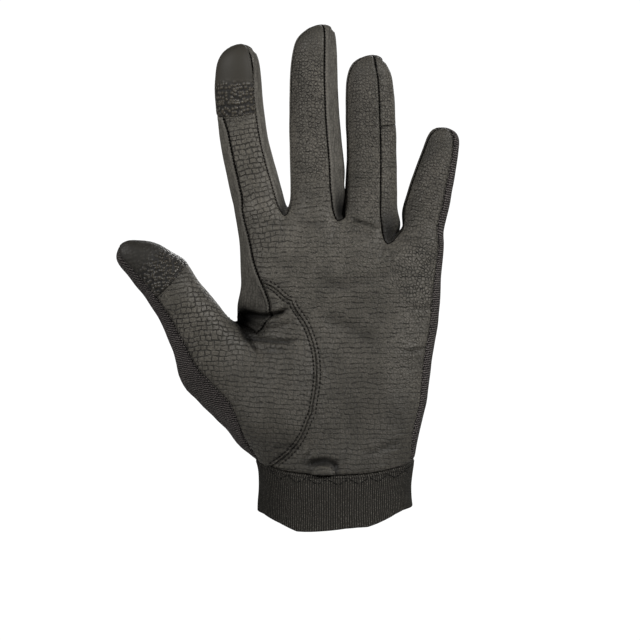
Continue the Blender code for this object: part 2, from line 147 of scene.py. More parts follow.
def outerSide(nodeName, hollows):
    bm = bmesh.new()
    bm.from_mesh(frame["nodes"][nodeName].data)
    bmesh.ops.remove_doubles(bm, verts=bm.verts, dist=skinSettings["looseTriangles"])
    bm.normal_update()
    across = [edge for edge in bm.edges
              if abs(edge.calc_length() - walls[nodeName]) < skinSettings["wallSlack"]]
    rims = {face for edge in across for face in edge.link_faces}
    bmesh.ops.delete(bm, geom=list(rims), context="FACES")

    def outwardness(group):
        total = 0.0
        for face in group:
            centre = face.calc_center_median()
            hollow = min(hollows, key=lambda point: (point - centre).length)
            total += face.calc_area() * face.normal.dot((centre - hollow).normalized())
        return total

    outer = set(max(connectedFaces(bm), key=outwardness))
    bmesh.ops.delete(bm, geom=[face for face in bm.faces if face not in outer], context="FACES")
    bm.normal_update()
    if nodeName in patchNames:
        for vertex in bm.verts:
            vertex.co -= vertex.normal * skinSettings["patchStep"]
    return bm


def closeTips(skin):
    # the narrow end of a strip lies a little short of the corner that it runs into
    openPoints = [vertex for vertex in skin.verts if vertex.is_boundary]
    panelsAt = {vertex: {face.material_index for face in vertex.link_faces} for vertex in openPoints}
    hem = {panelNames.index("cuff")}
    targets = {}
    for vertex in openPoints:
        if len(panelsAt[vertex]) == 1 and panelsAt[vertex] != hem:
            others = [other for other in openPoints if not panelsAt[other] & panelsAt[vertex]]
            targets[vertex] = min(others, key=lambda other: (other.co - vertex.co).length)
    bmesh.ops.weld_verts(skin, targetmap=targets)


# Corners of the seams that the solids leave a little off the real seam: from and to, x and z in mm.
seamNudges = (
    ((-17.1, 84.9), (-17.9, 83.1)), ((-23.2, 88.4), (-23.0, 88.9)),
    ((-43.5, 159.9), (-46.4, 160.0)),
    # the lower end of the thumb's curved seam swings round towards the wrist
    ((-11.5, 32.8), (-10.9, 32.4)), ((-15.9, 27.5), (-13.8, 26.4)), ((-21.2, 21.9), (-19.1, 20.9)),
    ((-27.3, 17.1), (-27.8, 17.4)), ((-28.2, 17.5), (-28.5, 17.7)), ((-25.1, 16.7), (-26.7, 17.1)),
)


def nudgeSeams(skin):
    surface = BVHTree.FromBMesh(skin)
    for (fromX, fromZ), (toX, toZ) in seamNudges:
        front = [vertex for vertex in skin.verts if vertex.co.y < -4 * mm or vertex.normal.y < 0]
        corner = min(front, key=lambda vertex: math.hypot(vertex.co.x - fromX * mm,
                                                          vertex.co.z - fromZ * mm))
        hit = fromPalmSide(surface, toX, toZ)
        if hit:
            corner.co = hit


def sewSkin():
    skin = bmesh.new()
    hollows = hollowCentres()
    for number, nodeName in enumerate(panelNames):
        side = outerSide(nodeName, hollows)
        for face in side.faces:
            face.material_index = number
            face.smooth = True
        carrier = bpy.data.meshes.new("carrier")
        side.to_mesh(carrier)
        side.free()
        skin.from_mesh(carrier)
        bpy.data.meshes.remove(carrier)
    rims = [vertex for vertex in skin.verts if vertex.is_boundary]
    bmesh.ops.remove_doubles(skin, verts=rims, dist=skinSettings["acrossSeams"])
    closeTips(skin)
    nudgeSeams(skin)
    bmesh.ops.join_triangles(skin, faces=skin.faces, cmp_materials=True, topology_influence=1.0,
                             angle_face_threshold=math.pi, angle_shape_threshold=math.pi)
    skin.normal_update()
    return skin


skin = sewSkin()
print("skin sewn:", len(skin.verts), "points,", sum(len(f.verts) == 4 for f in skin.faces), "quads,",
      sum(len(f.verts) == 3 for f in skin.faces), "triangles,",
      sum(e.is_boundary for e in skin.edges), "open edges")


# the grain: where each point lies on the flat leather, so that the embossing runs up each finger

grainSettings = {
    "handRoundness": 13.0 * mm,   # radius of the hand's rounded sides
    "fingerRoundness": 9.0 * mm,
    "turnBelowRoot": 18.0 * mm,   # the rows start to turn with a finger this far below its root
    "turnAboveRoot": 8.0 * mm,
    "neighbourReach": 7.0 * mm,   # how far two fingers share the rows between them
    "apartAbove": 0.65,           # how much less they share above their roots
    "axisBelow": 30.0 * mm,       # the fingers' middle lines reach this far below and above the roots
    "axisAbove": 120.0 * mm,
    "axisPoints": 301,
}
thumbRise = {"x": (-95.0 * mm, -60.0 * mm, -38.0 * mm, 0.0), "slope": (0.20, 0.15, -0.06, -0.09)}
fingerNames = ("index", "middle", "ring", "little")


def fingerAxis(name):
    # the middle line of a finger as x over z, through the centres of its hollows
    boxes = [np.array(opening["box_m"]) for opening in frame["record"]["physics"]["openings"]
             if opening["name"].startswith(name + "_finger")]
    centres = np.array([box.mean(axis=0) for box in boxes])
    curve = np.polyfit(centres[:, 2], centres[:, 0], len(centres) - 1)
    root = min(box[0][2] for box in boxes)
    heights = np.linspace(root - grainSettings["axisBelow"], root + grainSettings["axisAbove"],
                          grainSettings["axisPoints"])
    slopes = np.polyval(np.polyder(curve), heights)
    arc = np.concatenate([[0.0], np.cumsum(np.sqrt(1 + slopes[1:] ** 2) * np.diff(heights))])
    arc += root - np.interp(root, heights, arc)
    return {"curve": curve, "root": root, "heights": heights, "arc": arc,
            "x": float(np.polyval(curve, root))}


axes = [fingerAxis(name) for name in fingerNames]


def unrolled(points, normals, facing, roundness):
    tilt = normals[:, [0, 2]]
    away = np.linalg.norm(tilt, axis=1)
    angle = np.arctan2(away, np.abs(normals[:, 1]) if facing > 0 else -normals[:, 1])
    reach = roundness * (angle - np.sin(angle)) / np.maximum(away, 1e-6)
    return points[:, [0, 2]] + tilt * reach[:, None]


def fingerShares(flat):
    shares, turns = [], []
    for axis in axes:
        height = np.clip(flat[:, 1], axis["heights"][0], axis["heights"][-1])
        turn = smoothStep(axis["root"] - grainSettings["turnBelowRoot"],
                          axis["root"] + grainSettings["turnAboveRoot"], flat[:, 1])
        reach = grainSettings["neighbourReach"] * (1.0 - grainSettings["apartAbove"] * turn)
        away = flat[:, 0] - np.polyval(axis["curve"], height)
        shares.append(np.exp(-(away / reach) ** 2 / 2) + 1e-12)
        turns.append(turn)
    total = sum(shares)
    return [share / total for share in shares], turns


# the fit: what the real glove's outline does between the solids' corners, all in mm

fit = {
    "ease": 0.22,  # the leather stands this much outside the smoothed skin
    "fingersFrom": -3.0,  # from here to there above its root, a finger takes on its own shift
    "fingersTo": 10.0,
    "fingers": {"index": {"shift": 0.0, "widen": 0.02}, "middle": {"shift": 0.3, "widen": 0.01},
                "ring": {"shift": -0.35, "widen": 0.075}, "little": {"shift": -0.1, "widen": 0.03}},
    "pushes": table("name x z right up reach", (
        ("thumb mount, outer side", -60.5, 54.5, -2.2, -1.5, 10.0),
        ("thumb mount, foot", -37.5, 26.0, -1.6, -1.2, 7.0),
        ("thumb root, outer side", -66.5, 69.0, -1.1, -0.6, 5.5),
        ("thumb, outer side", -76.5, 85.0, 0.5, 0.3, 5.0),
        ("thumb, inner side", -61.0, 99.0, 0.9, 1.2, 6.5),
        ("thumb tip, top", -80.0, 112.0, -0.3, -1.6, 6.0),
        ("thumb tip, side", -87.5, 102.0, -1.4, -0.4, 5.5),
        ("index root", -39.0, 119.0, -0.8, 0.0, 9.0),
        ("index side", -37.7, 99.0, -0.7, 0.0, 9.0),
        ("index side wall", -38.0, 82.0, -1.9, 0.0, 7.0),
        ("index tip", -37.5, 188.0, 0.0, 0.9, 7.0),
        ("ring tip", 22.5, 182.5, -0.7, -0.4, 5.0),
        ("ring root", 25.6, 116.0, 2.0, 0.0, 4.6),
        ("ring root, left", 5.5, 126.5, -1.3, 0.3, 3.5),
        ("between middle and ring", 3.0, 142.0, 0.7, 0.0, 12.0),
        ("middle tip, right", -1.5, 193.5, 0.5, 1.0, 6.0),
        ("middle tip, left", -13.5, 195.5, 0.4, -0.7, 5.0),
        ("middle root", 3.6, 126.5, 1.5, 2.0, 4.0),
        ("wrist, little finger's side", 33.0, 20.0, 1.0, 0.0, 8.0),
        ("wrist, thumb's side", -30.5, 14.5, -0.7, 0.0, 5.0),
        ("hand's edge", 42.5, 80.0, 0.5, 0.0, 12.0),
        ("hand's edge, low", 37.5, 46.0, 0.8, 0.0, 13.0),
    )),
    # how much the front of the hem rises, over x, and over which z and y the rise sets in
    "hem": {"x": (-31.0, -28.0, -22.0, -15.0, -5.0, 5.0, 10.0, 14.0, 18.0, 25.0, 28.0, 31.5),
            "rise": (1.4, 1.9, 1.0, -0.7, 0.3, 1.1, 1.0, 0.6, 1.2, 2.4, 2.4, 1.4),
            "height": 14.0, "low": -4.0, "behind": 4.0, "before": -8.0},
}


def fitted(points, normals):
    shares, _ = fingerShares(points[:, [0, 2]])
    moved = points + normals * fit["ease"] * mm
    for name, axis, share in zip(fingerNames, axes, shares):
        height = np.clip(points[:, 2], axis["heights"][0], axis["heights"][-1])
        above = smoothStep(axis["root"] + fit["fingersFrom"] * mm, axis["root"] + fit["fingersTo"] * mm,
                           points[:, 2])
        away = points[:, 0] - np.polyval(axis["curve"], height)
        change = fit["fingers"][name]
        moved[:, 0] += share * above * (change["shift"] * mm + change["widen"] * away)
    for push in fit["pushes"]:
        share = bell(awayFrom(points, push), push["reach"] * mm)
        moved[:, 0] += push["right"] * mm * share
        moved[:, 2] += push["up"] * mm * share
    hem = fit["hem"]
    rise = np.interp(points[:, 0] / mm, hem["x"], hem["rise"]) * mm
    front = smoothStep(hem["behind"] * mm, hem["before"] * mm, points[:, 1])
    moved[:, 2] += rise * front * smoothStep(hem["height"] * mm, hem["low"] * mm, points[:, 2])
    return moved


def smoothSkin(levels):
    mesh = bpy.data.meshes.new("smoothSkin")
    skin.to_mesh(mesh)
    for _ in panelNames:
        mesh.materials.append(None)
    holder = addObject("smoothSkin", mesh)
    smooth = holder.modifiers.new("smooth", "SUBSURF")
    smooth.levels = smooth.render_levels = levels
    bpy.context.view_layer.update()
    made = bpy.data.meshes.new_from_object(holder.evaluated_get(bpy.context.evaluated_depsgraph_get()))
    bpy.data.objects.remove(holder)
    points = readNumbers(made.vertices, "co", each=3)
    points = fitted(points, readNumbers(made.vertex_normals, "vector", each=3))
    made.vertices.foreach_set("co", points.ravel())
    made.update()
    return made


fineSkin = smoothSkin(skinSettings["fineLevels"])
plainSkin = smoothSkin(skinSettings["plainLevels"])
print("skin smoothed:", len(fineSkin.polygons), "and", len(plainSkin.polygons), "faces")

# the seams: ordered paths between each two panels

seamSpacing = 0.25 * mm


def chains(edges):
    near = {}
    for first, second in edges:
        near.setdefault(first, []).append(second)
        near.setdefault(second, []).append(first)
    found = []
    while near:
        ends = [point for point in near if len(near[point]) == 1]
        path = [ends[0] if ends else next(iter(near))]
        while near.get(path[-1]):
            step = near[path[-1]].pop()
            near[step].remove(path[-1])
            path.append(step)
        near = {point: others for point, others in near.items() if others}
        found.append(path)
    return found


def spaced(points, spacing):
    steps = np.linalg.norm(np.diff(points, axis=0), axis=1)
    along = np.concatenate([[0.0], np.cumsum(steps)])
    places = np.linspace(0.0, along[-1], max(2, int(round(along[-1] / spacing)) + 1))
    return np.stack([np.interp(places, along, points[:, axis]) for axis in range(3)], axis=1), places


def readSeams(mesh):
    edgeOfLoop = readNumbers(mesh.loops, "edge_index", np.int32)
    ends = readNumbers(mesh.edges, "vertices", np.int32, 2)
    panelOfLoop = np.repeat(readNumbers(mesh.polygons, "material_index", np.int32),
                            readNumbers(mesh.polygons, "loop_total", np.int32))
    low = np.full(len(ends), len(panelNames))
    high = np.full(len(ends), -1)
    np.minimum.at(low, edgeOfLoop, panelOfLoop)
    np.maximum.at(high, edgeOfLoop, panelOfLoop)
    points = readNumbers(mesh.vertices, "co", each=3)
    byPair = {}
    for edge in np.nonzero(low != high)[0]:
        pair = (panelNames[low[edge]], panelNames[high[edge]])
        byPair.setdefault(pair, []).append(tuple(int(end) for end in ends[edge]))
    found = []
    for pair in sorted(byPair):
        for path in chains(byPair[pair]):
            line, along = spaced(points[path], seamSpacing)
            found.append({"pair": pair, "points": line, "along": along})
    return found


seams = readSeams(fineSkin)
seamTree = kdtree.KDTree(sum(len(seam["points"]) for seam in seams))
seamOfPoint = []
alongOfPoint = []
for number, seam in enumerate(seams):
    for point, along in zip(seam["points"], seam["along"]):
        seamTree.insert(point, len(seamOfPoint))
        seamOfPoint.append(number)
        alongOfPoint.append(along)
seamTree.balance()
seamOfPoint = np.array(seamOfPoint)
alongOfPoint = np.array(alongOfPoint)
print("seams read:", len(seams), "with", len(alongOfPoint), "points")


def grainOf(points, normals, nodeName):
    facing = 1.0 if nodeName == "back_panel" else -1.0
    flat = points[:, [0, 2]]
    shares, turns = fingerShares(flat)
    turned = sum(share * turn for share, turn in zip(shares, turns))
    hand, finger = grainSettings["handRoundness"], grainSettings["fingerRoundness"]
    flat = unrolled(points, normals, facing, hand + (finger - hand) * turned)
    if nodeName in ("thumb_panel", "thumb_touch_patch"):
        xs = np.linspace(thumbRise["x"][0], thumbRise["x"][-1], 200)
        slopes = np.interp(xs, thumbRise["x"], thumbRise["slope"])
        rises = np.concatenate([[0.0], np.cumsum((slopes[1:] + slopes[:-1]) / 2 * np.diff(xs))])
        return np.stack([flat[:, 0], flat[:, 1] - np.interp(flat[:, 0], xs, rises)], axis=1)
    across, up = flat[:, 0].copy(), flat[:, 1].copy()
    for axis, share, turn in zip(axes, shares, turns):
        height = np.clip(flat[:, 1], axis["heights"][0], axis["heights"][-1])
        away = flat[:, 0] - np.polyval(axis["curve"], height)
        lean = np.arctan(np.polyval(np.polyder(axis["curve"]), height))
        onFinger = axis["x"] + away * np.cos(lean)
        upFinger = np.interp(height, axis["heights"], axis["arc"]) + away * np.sin(lean)
        upFinger += flat[:, 1] - height
        across += share * turn * (onFinger - flat[:, 0])
        up += share * turn * (upFinger - flat[:, 1])
    return np.stack([across, up], axis=1)


# Spots on the palm side, in mm, with the share of round pebbles among the embossed rows there,
# how smooth the embossing is, and how much light or shade is painted into the leather's colour there.
# Between the spots they run into each other.
grainSpots = table("x z reach pebble smooth tone", (
    # index finger
    (-28.0, 150.0, 8.0, 0.0, 0.0, 1.12),
    (-24.0, 118.0, 8.0, 0.05, 0.1, 0.88),
    # middle finger
    (-10.0, 193.0, 5.0, 1.0, 0.75, 0.7),
    (-9.0, 172.0, 9.0, 1.0, 0.15, 0.92),
    (-9.0, 145.0, 9.0, 0.8, 0.1, 0.94),
    (-9.0, 122.0, 8.0, 0.45, 0.15, 0.86),
    # ring finger
    (14.0, 182.0, 5.0, 1.0, 0.7, 0.64),
    (14.0, 160.0, 9.0, 0.85, 0.15, 0.82),
    (14.0, 130.0, 9.0, 0.65, 0.1, 0.86),
    # little finger
    (44.0, 152.0, 6.0, 1.0, 0.6, 0.58),
    (38.0, 125.0, 9.0, 0.7, 0.1, 0.76),
    # the hand's edge
    (38.0, 95.0, 8.0, 0.95, 0.0, 0.86),
    (34.0, 60.0, 9.0, 0.6, 0.1, 0.8),
    # palm
    (10.0, 105.0, 10.0, 0.5, 0.15, 0.82),
    (8.0, 75.0, 12.0, 0.2, 0.1, 0.7),
    (8.0, 42.0, 12.0, 0.15, 0.25, 0.56),
    (-12.0, 90.0, 8.0, 0.35, 0.1, 0.78),
    # thumb and its mount
    (-24.0, 55.0, 12.0, 0.15, 0.15, 0.66),
    (-50.0, 78.0, 10.0, 0.0, 0.0, 0.84),
    (-63.0, 92.0, 5.0, 0.0, 0.1, 0.9),
    # thumb's patch
    (-80.0, 106.0, 6.0, 1.0, 0.6, 0.45),
    (-68.0, 94.0, 5.0, 1.0, 0.0, 0.62),
    # index finger's patch
    (-38.0, 183.0, 6.0, 1.0, 0.95, 0.85),
    (-39.0, 166.0, 5.0, 1.0, 0.0, 1.0),
))
spotSpread = 1.3


def spotShares(points):
    total = np.full(len(points), 1e-9)
    names = ("pebble", "smooth", "tone")
    sums = {name: np.zeros(len(points)) for name in names}
    for spot in grainSpots:
        weight = bell(awayFrom(points, spot), spot["reach"] * spotSpread * mm) + 1e-9
        total += weight
        for name in names:
            sums[name] += weight * spot[name]
    return [sums[name] / total for name in names]


# Folds and creases seen from the palm side, in mm: the depth and width of the crease, how much the
# skin beside it rises, x and z of its points, and how dark the shade painted into it is where that isn't the
# default below.
folds = table("name depth width rise path dark", (
    ("web crease, upper", 2.4, 1.0, 0.45,
     ((-38.5, 80.8), (-34.0, 79.4), (-29.3, 78.5), (-24.4, 79.0), (-21.0, 80.2), (-17.0, 83.2)), 0.85),
    ("web crease, lower", 1.4, 0.8, 0.35,
     ((-38.5, 71.5), (-34.0, 69.6), (-29.3, 69.0), (-24.0, 68.4), (-19.1, 68.3), (-13.0, 69.2)), 0.8),
    ("thumb's shadow", 0.5, 0.8, 0.0, ((-40.0, 76.6), (-36.6, 71.8), (-33.4, 67.2), (-30.8, 62.8)), 0.85),
    ("below the web, 1", 0.35, 0.9, 0.15, ((-31.0, 64.5), (-25.0, 64.2), (-18.0, 65.0))),
    ("below the web, 2", 0.45, 0.8, 0.2, ((-33.0, 74.3), (-27.0, 73.6), (-20.0, 74.8), (-15.0, 77.0))),
    ("finger base, ring", 0.85, 0.7, 0.55, ((6.0, 118.3), (12.0, 116.6), (19.5, 113.8)), 0.5),
    ("finger base, ring, lower", 0.35, 0.9, 0.2, ((5.0, 114.2), (11.0, 113.0), (18.0, 110.6))),
    ("finger base, middle", 0.45, 0.8, 0.3, ((-16.0, 117.5), (-9.0, 116.0), (-1.0, 116.8)), 0.35),
    ("finger base, index", 0.25, 0.9, 0.15, ((-30.0, 117.5), (-24.0, 116.0), (-19.0, 117.0))),
    ("little crotch, left", 0.5, 0.6, 0.25, ((21.4, 108.5), (19.8, 104.5), (18.2, 100.0))),
    ("little crotch, right", 0.45, 0.6, 0.25, ((22.0, 107.5), (23.4, 103.6), (24.2, 99.0))),
    ("little base", 0.35, 0.9, 0.15, ((25.0, 110.5), (31.0, 110.0), (38.0, 111.6))),
    ("middle crotch", 0.4, 0.6, 0.2, ((1.2, 116.0), (0.2, 112.0), (-1.5, 107.0))),
    ("index crotch", 0.35, 0.6, 0.2, ((-20.4, 117.8), (-20.8, 113.5), (-21.5, 109.0))),
    ("hand's edge, 1", 0.9, 0.8, 0.35, ((26.5, 64.5), (32.0, 64.2), (39.5, 66.0))),
    ("hand's edge, 2", 0.35, 1.0, 0.2, ((30.0, 82.0), (36.0, 81.4), (42.5, 83.0))),
    ("palm line, upper", 0.5, 2.4, 0.2, ((-10.0, 93.0), (4.0, 90.5), (20.0, 95.0), (33.0, 101.0))),
    ("palm line, lower", 0.4, 2.6, 0.15, ((-8.0, 80.0), (6.0, 74.0), (20.0, 66.0))),
    ("tab's gather, left", 0.6, 0.7, 0.3, ((-13.0, 17.0), (-11.5, 21.0), (-8.5, 24.5))),
    ("tab's gather, top", 1.6, 0.9, 0.3,
     ((-12.5, 16.6), (-8.6, 19.3), (-3.5, 20.1), (0.0, 19.1), (1.8, 15.0)), 0.75),
    ("tab's gather, right", 0.45, 0.7, 0.25, ((2.0, 19.0), (4.5, 22.5), (5.0, 26.0))),
    ("wrist, left", 0.3, 1.1, 0.2, ((-27.0, 24.0), (-19.0, 25.5), (-12.0, 24.0))),
    ("wrist, right", 0.35, 1.2, 0.2, ((10.0, 23.0), (19.0, 24.0), (28.0, 28.0))),
))
# the painted shade in a crease that gives no darkness of its own
foldPaintedShade = 0.25
# Where the web sinks behind the thumb: one side of the path falls back from the eye.
bank = {"path": ((-43.0, 80.0), (-40.2, 76.0), (-36.3, 70.6), (-33.0, 65.6), (-30.4, 61.5), (-27.5, 57.0)),
        "depth": 4.6, "edge": 0.8, "reach": 6.5, "lip": 0.5, "lipWidth": 1.6}
# Deep places that get little light: centre, reach and depth in mm, how dark the shade painted into the
# leather's colour is there, and the one panel that gets this painted shade where the others don't.
pits = table("name x z wide high depth dark panel", (
    ("web", -35.2, 77.6, 6.6, 4.0, 4.0, 0.97),
    ("web, at the thumb", -37.9, 77.6, 2.8, 3.4, 3.5, 0.9),
    ("web, below the strip's end", -33.2, 72.2, 4.8, 2.6, 1.8, 0.88),
    ("beside the thumb's edge", -36.0, 70.0, 1.6, 4.2, 0.8, 0.65),
    ("above the tab", -5.3, 18.9, 6.4, 1.9, 0.7, 0.9),
    ("right of the tab", 1.0, 16.6, 1.4, 2.4, 0.4, 0.88),
    ("ring and little crotch", 22.4, 112.5, 4.6, 10.0, 0.0, 0.97, "sidewall_ring_little"),
    ("middle and ring crotch", 2.8, 121.5, 3.2, 9.0, 0.0, 0.96, "sidewall_middle_ring"),
    ("index and middle crotch", -20.9, 120.5, 3.0, 5.0, 0.0, 0.92, "sidewall_index_middle"),
))


def alongPath(points, path):
    # distance to a polyline seen from the palm side, the share of its length, and the side
    path = np.array(path) * mm
    steps = np.linalg.norm(np.diff(path, axis=0), axis=1)
    starts = np.concatenate([[0.0], np.cumsum(steps)])
    best = np.full(len(points), np.inf)
    share = np.zeros(len(points))
    side = np.zeros(len(points))
    for start, end, step, before in zip(path, path[1:], steps, starts):
        ahead = (end - start) / step
        offset = points - start
        travel = offset @ ahead
        held = np.clip(travel, 0.0, step)
        gap = np.linalg.norm(offset - held[:, None] * ahead, axis=1)
        nearer = gap < best
        best[nearer] = gap[nearer]
        share[nearer] = (before + held[nearer]) / starts[-1]
        side[nearer] = np.sign(offset[nearer, 1] * ahead[0] - offset[nearer, 0] * ahead[1])
    return best, share, side


def foldsNear(points):
    # each fold with the points' distance from it, and how little it has faded towards its ends
    for fold in folds:
        distance, share, _ = alongPath(points[:, [0, 2]], fold["path"])
        yield fold, distance, smoothStep(0.0, 0.25, share) * smoothStep(1.0, 0.75, share)


def foldLift(points, normals):
    lift = np.zeros(len(points))
    seen = smoothStep(-0.1, -0.5, normals[:, 1])
    for fold, distance, fade in foldsNear(points):
        width = fold["width"] * mm
        crease = -fold["depth"] * mm * bell(distance, width)
        shoulder = fold["rise"] * mm * bell(distance - 2.0 * width, width)
        lift += (crease + shoulder) * fade * seen
    return lift


def fallBack(points, normals):
    # how far a point moves away from the eye, along +y
    seen = smoothStep(0.3, -0.3, normals[:, 1])
    distance, share, side = alongPath(points[:, [0, 2]], bank["path"])
    fade = smoothStep(0.02, 0.22, share) * smoothStep(1.0, 0.5, share)
    upper = np.where(side > 0, distance, 0.0)
    fall = bank["depth"] * mm * smoothStep(0.0, bank["edge"] * mm, upper) * bell(upper, bank["reach"] * mm)
    lip = -bank["lip"] * mm * bell(distance, bank["lipWidth"] * mm) * (side <= 0)
    deep = sum(pit["depth"] * mm * pitShare(points, pit) for pit in pits)
    return ((fall + lip) * fade + deep) * seen


def pitShare(points, pit):
    across = (points[:, 0] - pit["x"] * mm) / (pit["wide"] * mm)
    up = (points[:, 2] - pit["z"] * mm) / (pit["high"] * mm)
    return np.exp(-(across ** 2 + up ** 2))


def leftAfterPaintedShade(points, normals, nodeName):
    # painted shade: the share of the leather's lightness that is left where shade is painted into pits and
    # creases
    front = smoothStep(0.5, -0.2, normals[:, 1])
    sides = smoothStep(0.95, 0.45, normals[:, 1])
    left = np.ones(len(points))
    for pit in pits:
        if pit.get("panel", nodeName) == nodeName:
            left *= 1.0 - pit["dark"] * pitShare(points, pit) * (sides if "panel" in pit else front)
    for fold, distance, fade in foldsNear(points):
        left *= 1.0 - fold.get("dark", foldPaintedShade) * bell(distance, 1.1 * fold["width"] * mm) * fade * front
    return left


def unevenness(points, nodeName):
    kind = unevenKinds["knit" if nodeName == "back_panel" else "leather"]
    waves = np.array([noise.noise(Vector(point) / kind["span"]) for point in points])
    if nodeName != "back_panel":
        return waves * kind["height"]
    rumple = bell(awayFrom(points, knitRumple), knitRumple["reach"] * mm)
    return waves * (kind["height"] + knitRumple["height"] * mm * rumple) - knitLow


unevenKinds = {"leather": {"span": 8.0 * mm, "height": 0.22 * mm},
               "knit": {"span": 6.5 * mm, "height": 0.20 * mm}}
knitLow = 0.22 * mm  # the knit lies this much lower than the leather beside it
knitRumple = {"x": -62.0, "z": 55.0, "reach": 24.0, "height": 0.30}  # on the thumb's outer side, in mm

# how the panels turn down into their seams
panelEdge = {"gap": 0.05 * mm, "roll": 0.33 * mm}
# around a seam, in mm: how far it reaches, and what a point without a seam or a row gets as distance
seamShape = {"reach": 5.0, "ridgeAt": 1.2, "ridgeWidth": 0.5, "edgeWithin": 0.25, "rowWidth": 0.6,
             "none": 9.0}
# the dark number of a kind is how much shade is painted into the line of its seam, in the valley where the
# panels turn in
seamKinds = {kind["name"]: kind for kind in table("name depth width pucker pitch edge ridge dark", (
    ("finger", 0.45, 0.62, 0.06, 1.5, 0.3, 0.14, 1.0),
    ("thumbArc", 0.22, 0.5, 0.05, 2.0, 0.18, 0.0, 0.6),
    ("knit", 0.4, 0.85, 0.05, 2.2, 0.25, 0.12, 0.8),
    ("patch", 0.0, 0.75, 0.0, 2.5, 0.0, 0.0, 0.0),
    ("pieced", 0.08, 0.4, 0.04, 1.5, 0.08, 0.0, 0.7),
    ("cuff", 0.7, 1.1, 0.06, 2.4, 0.25, 0.1, 0.7),
))}
oddSeams = {
    "thumbArc": ({"palm_panel", "thumb_panel"},),
    "patch": ({"palm_panel", "index_touch_patch"}, {"thumb_panel", "thumb_touch_patch"}),
    "pieced": ({"sidewall_ring_little", "sidewall_ring_tip"},),
}


def seamKind(pair):
    for name, pairs in oddSeams.items():
        if set(pair) in pairs:
            return seamKinds[name]
    if "cuff" in pair:
        return seamKinds["cuff"]
    return seamKinds["knit" if "back_panel" in pair else "finger"]


# Rows of stitches that run beside a seam, on one of its panels, in mm: how far from the seam, the
# spacing, length and thickness of the stitches, and how deep they press the leather.
rows = table("name panel neighbour offset pitch length thickness press", (
    ("arc, thumb side", "thumb_panel", "palm_panel", 1.25, 1.755, 1.35, 0.48, 0.42),
    ("arc, palm side", "palm_panel", "thumb_panel", 1.55, 1.75, 0.98, 0.44, 0.26),
    ("arc, middle", "palm_panel", "thumb_panel", 0.35, 1.75, 1.0, 0.3, 0.0),
    ("gusset, inner", "thumb_panel", "index_side_wall", 0.7, 1.75, 1.1, 0.34, 0.25),
    ("gusset, outer", "index_side_wall", "thumb_panel", 1.6, 1.75, 0.9, 0.32, 0.22),
    ("side wall, palm side", "palm_panel", "index_side_wall", 0.55, 1.75, 0.9, 0.3, 0.15),
    ("patch edge, index", "index_touch_patch", "palm_panel", 0.75, 1.75, 0.9, 0.26, 0.16),
    ("patch edge, thumb", "thumb_touch_patch", "thumb_panel", 0.75, 1.75, 0.9, 0.26, 0.16),
    ("under the palm", "cuff", "palm_panel", 1.15, 1.25, 0.7, 0.6, 0.12),
    ("under the back", "cuff", "back_panel", 1.15, 1.45, 0.75, 0.34, 0.12),
    ("under the thumb", "cuff", "thumb_panel", 1.15, 1.45, 0.75, 0.34, 0.12),
    ("knit edge, palm", "palm_panel", "back_panel", 0.75, 1.755, 1.0, 0.28, 0.18),
    ("knit edge, thumb", "thumb_panel", "back_panel", 0.75, 1.755, 1.0, 0.28, 0.18),
))
# A row takes its direction this far ahead, looks for its panel at least this far from the seam, and
# is left out where the seam has too few points.
rowShape = {"ahead": 1.0 * mm, "probe": 0.6 * mm, "fewest": 8}
# Short threads across the finger seams, which notch the dark line between the panels.
crossThreads = {"pitch": 1.25, "length": 1.0, "thickness": 0.26, "sink": 0.30, "slant": 0.45}
# The zigzag on the cuff: where it starts below the wrist seam, how far it falls, the length of a
# stroke along the seam, the thickness, and the two stitches of a stroke as shares of it.
zigzag = {"under": 1.0, "top": 0.5, "fall": 2.3, "stroke": 4.2, "thickness": 0.62,
          "shares": (0.27, 0.73), "stitch": 0.44, "rise": 0.05}

skinSurface = BVHTree.FromPolygons([vertex.co for vertex in fineSkin.vertices],
                                   [tuple(face.vertices) for face in fineSkin.polygons])
panelOfFace = readNumbers(fineSkin.polygons, "material_index", np.int32)


def beside(seam, panel, offset):
    # the seam's path moved over the skin into one of its panels, with its direction and the skin's
    reach = max(1, int(rowShape["ahead"] / seamSpacing))
    line = seam["points"]
    last = len(line) - 1
    found = []
    for index, point in enumerate(line):
        ahead = Vector(line[min(last, index + reach)]) - Vector(line[max(0, index - reach)])
        if ahead.length < 1e-7:
            continue
        ahead.normalize()
        start = Vector(point)
        _, normal, _, _ = skinSurface.find_nearest(start)
        across = normal.cross(ahead).normalized()
        for side in (across, -across):
            _, _, face, _ = skinSurface.find_nearest(start + side * max(offset, rowShape["probe"]))
            if panelNames[panelOfFace[face]] == panel:
                place, upward, _, _ = skinSurface.find_nearest(start + side * offset)
                found.append((place, ahead, upward))
                break
    return found


def rowPaths():
    paths = []
    for row in rows:
        for seam in seams:
            if set(seam["pair"]) == {row["panel"], row["neighbour"]}:
                path = beside(seam, row["panel"], row["offset"] * mm)
                if len(path) > rowShape["fewest"]:
                    paths.append({"row": row, "path": path})
    return paths


stitchPaths = rowPaths()


def rowOf(seam, nodeName):
    for row in rows:
        if row["panel"] == nodeName and set(seam["pair"]) == {nodeName, row["neighbour"]}:
            return row
    return None


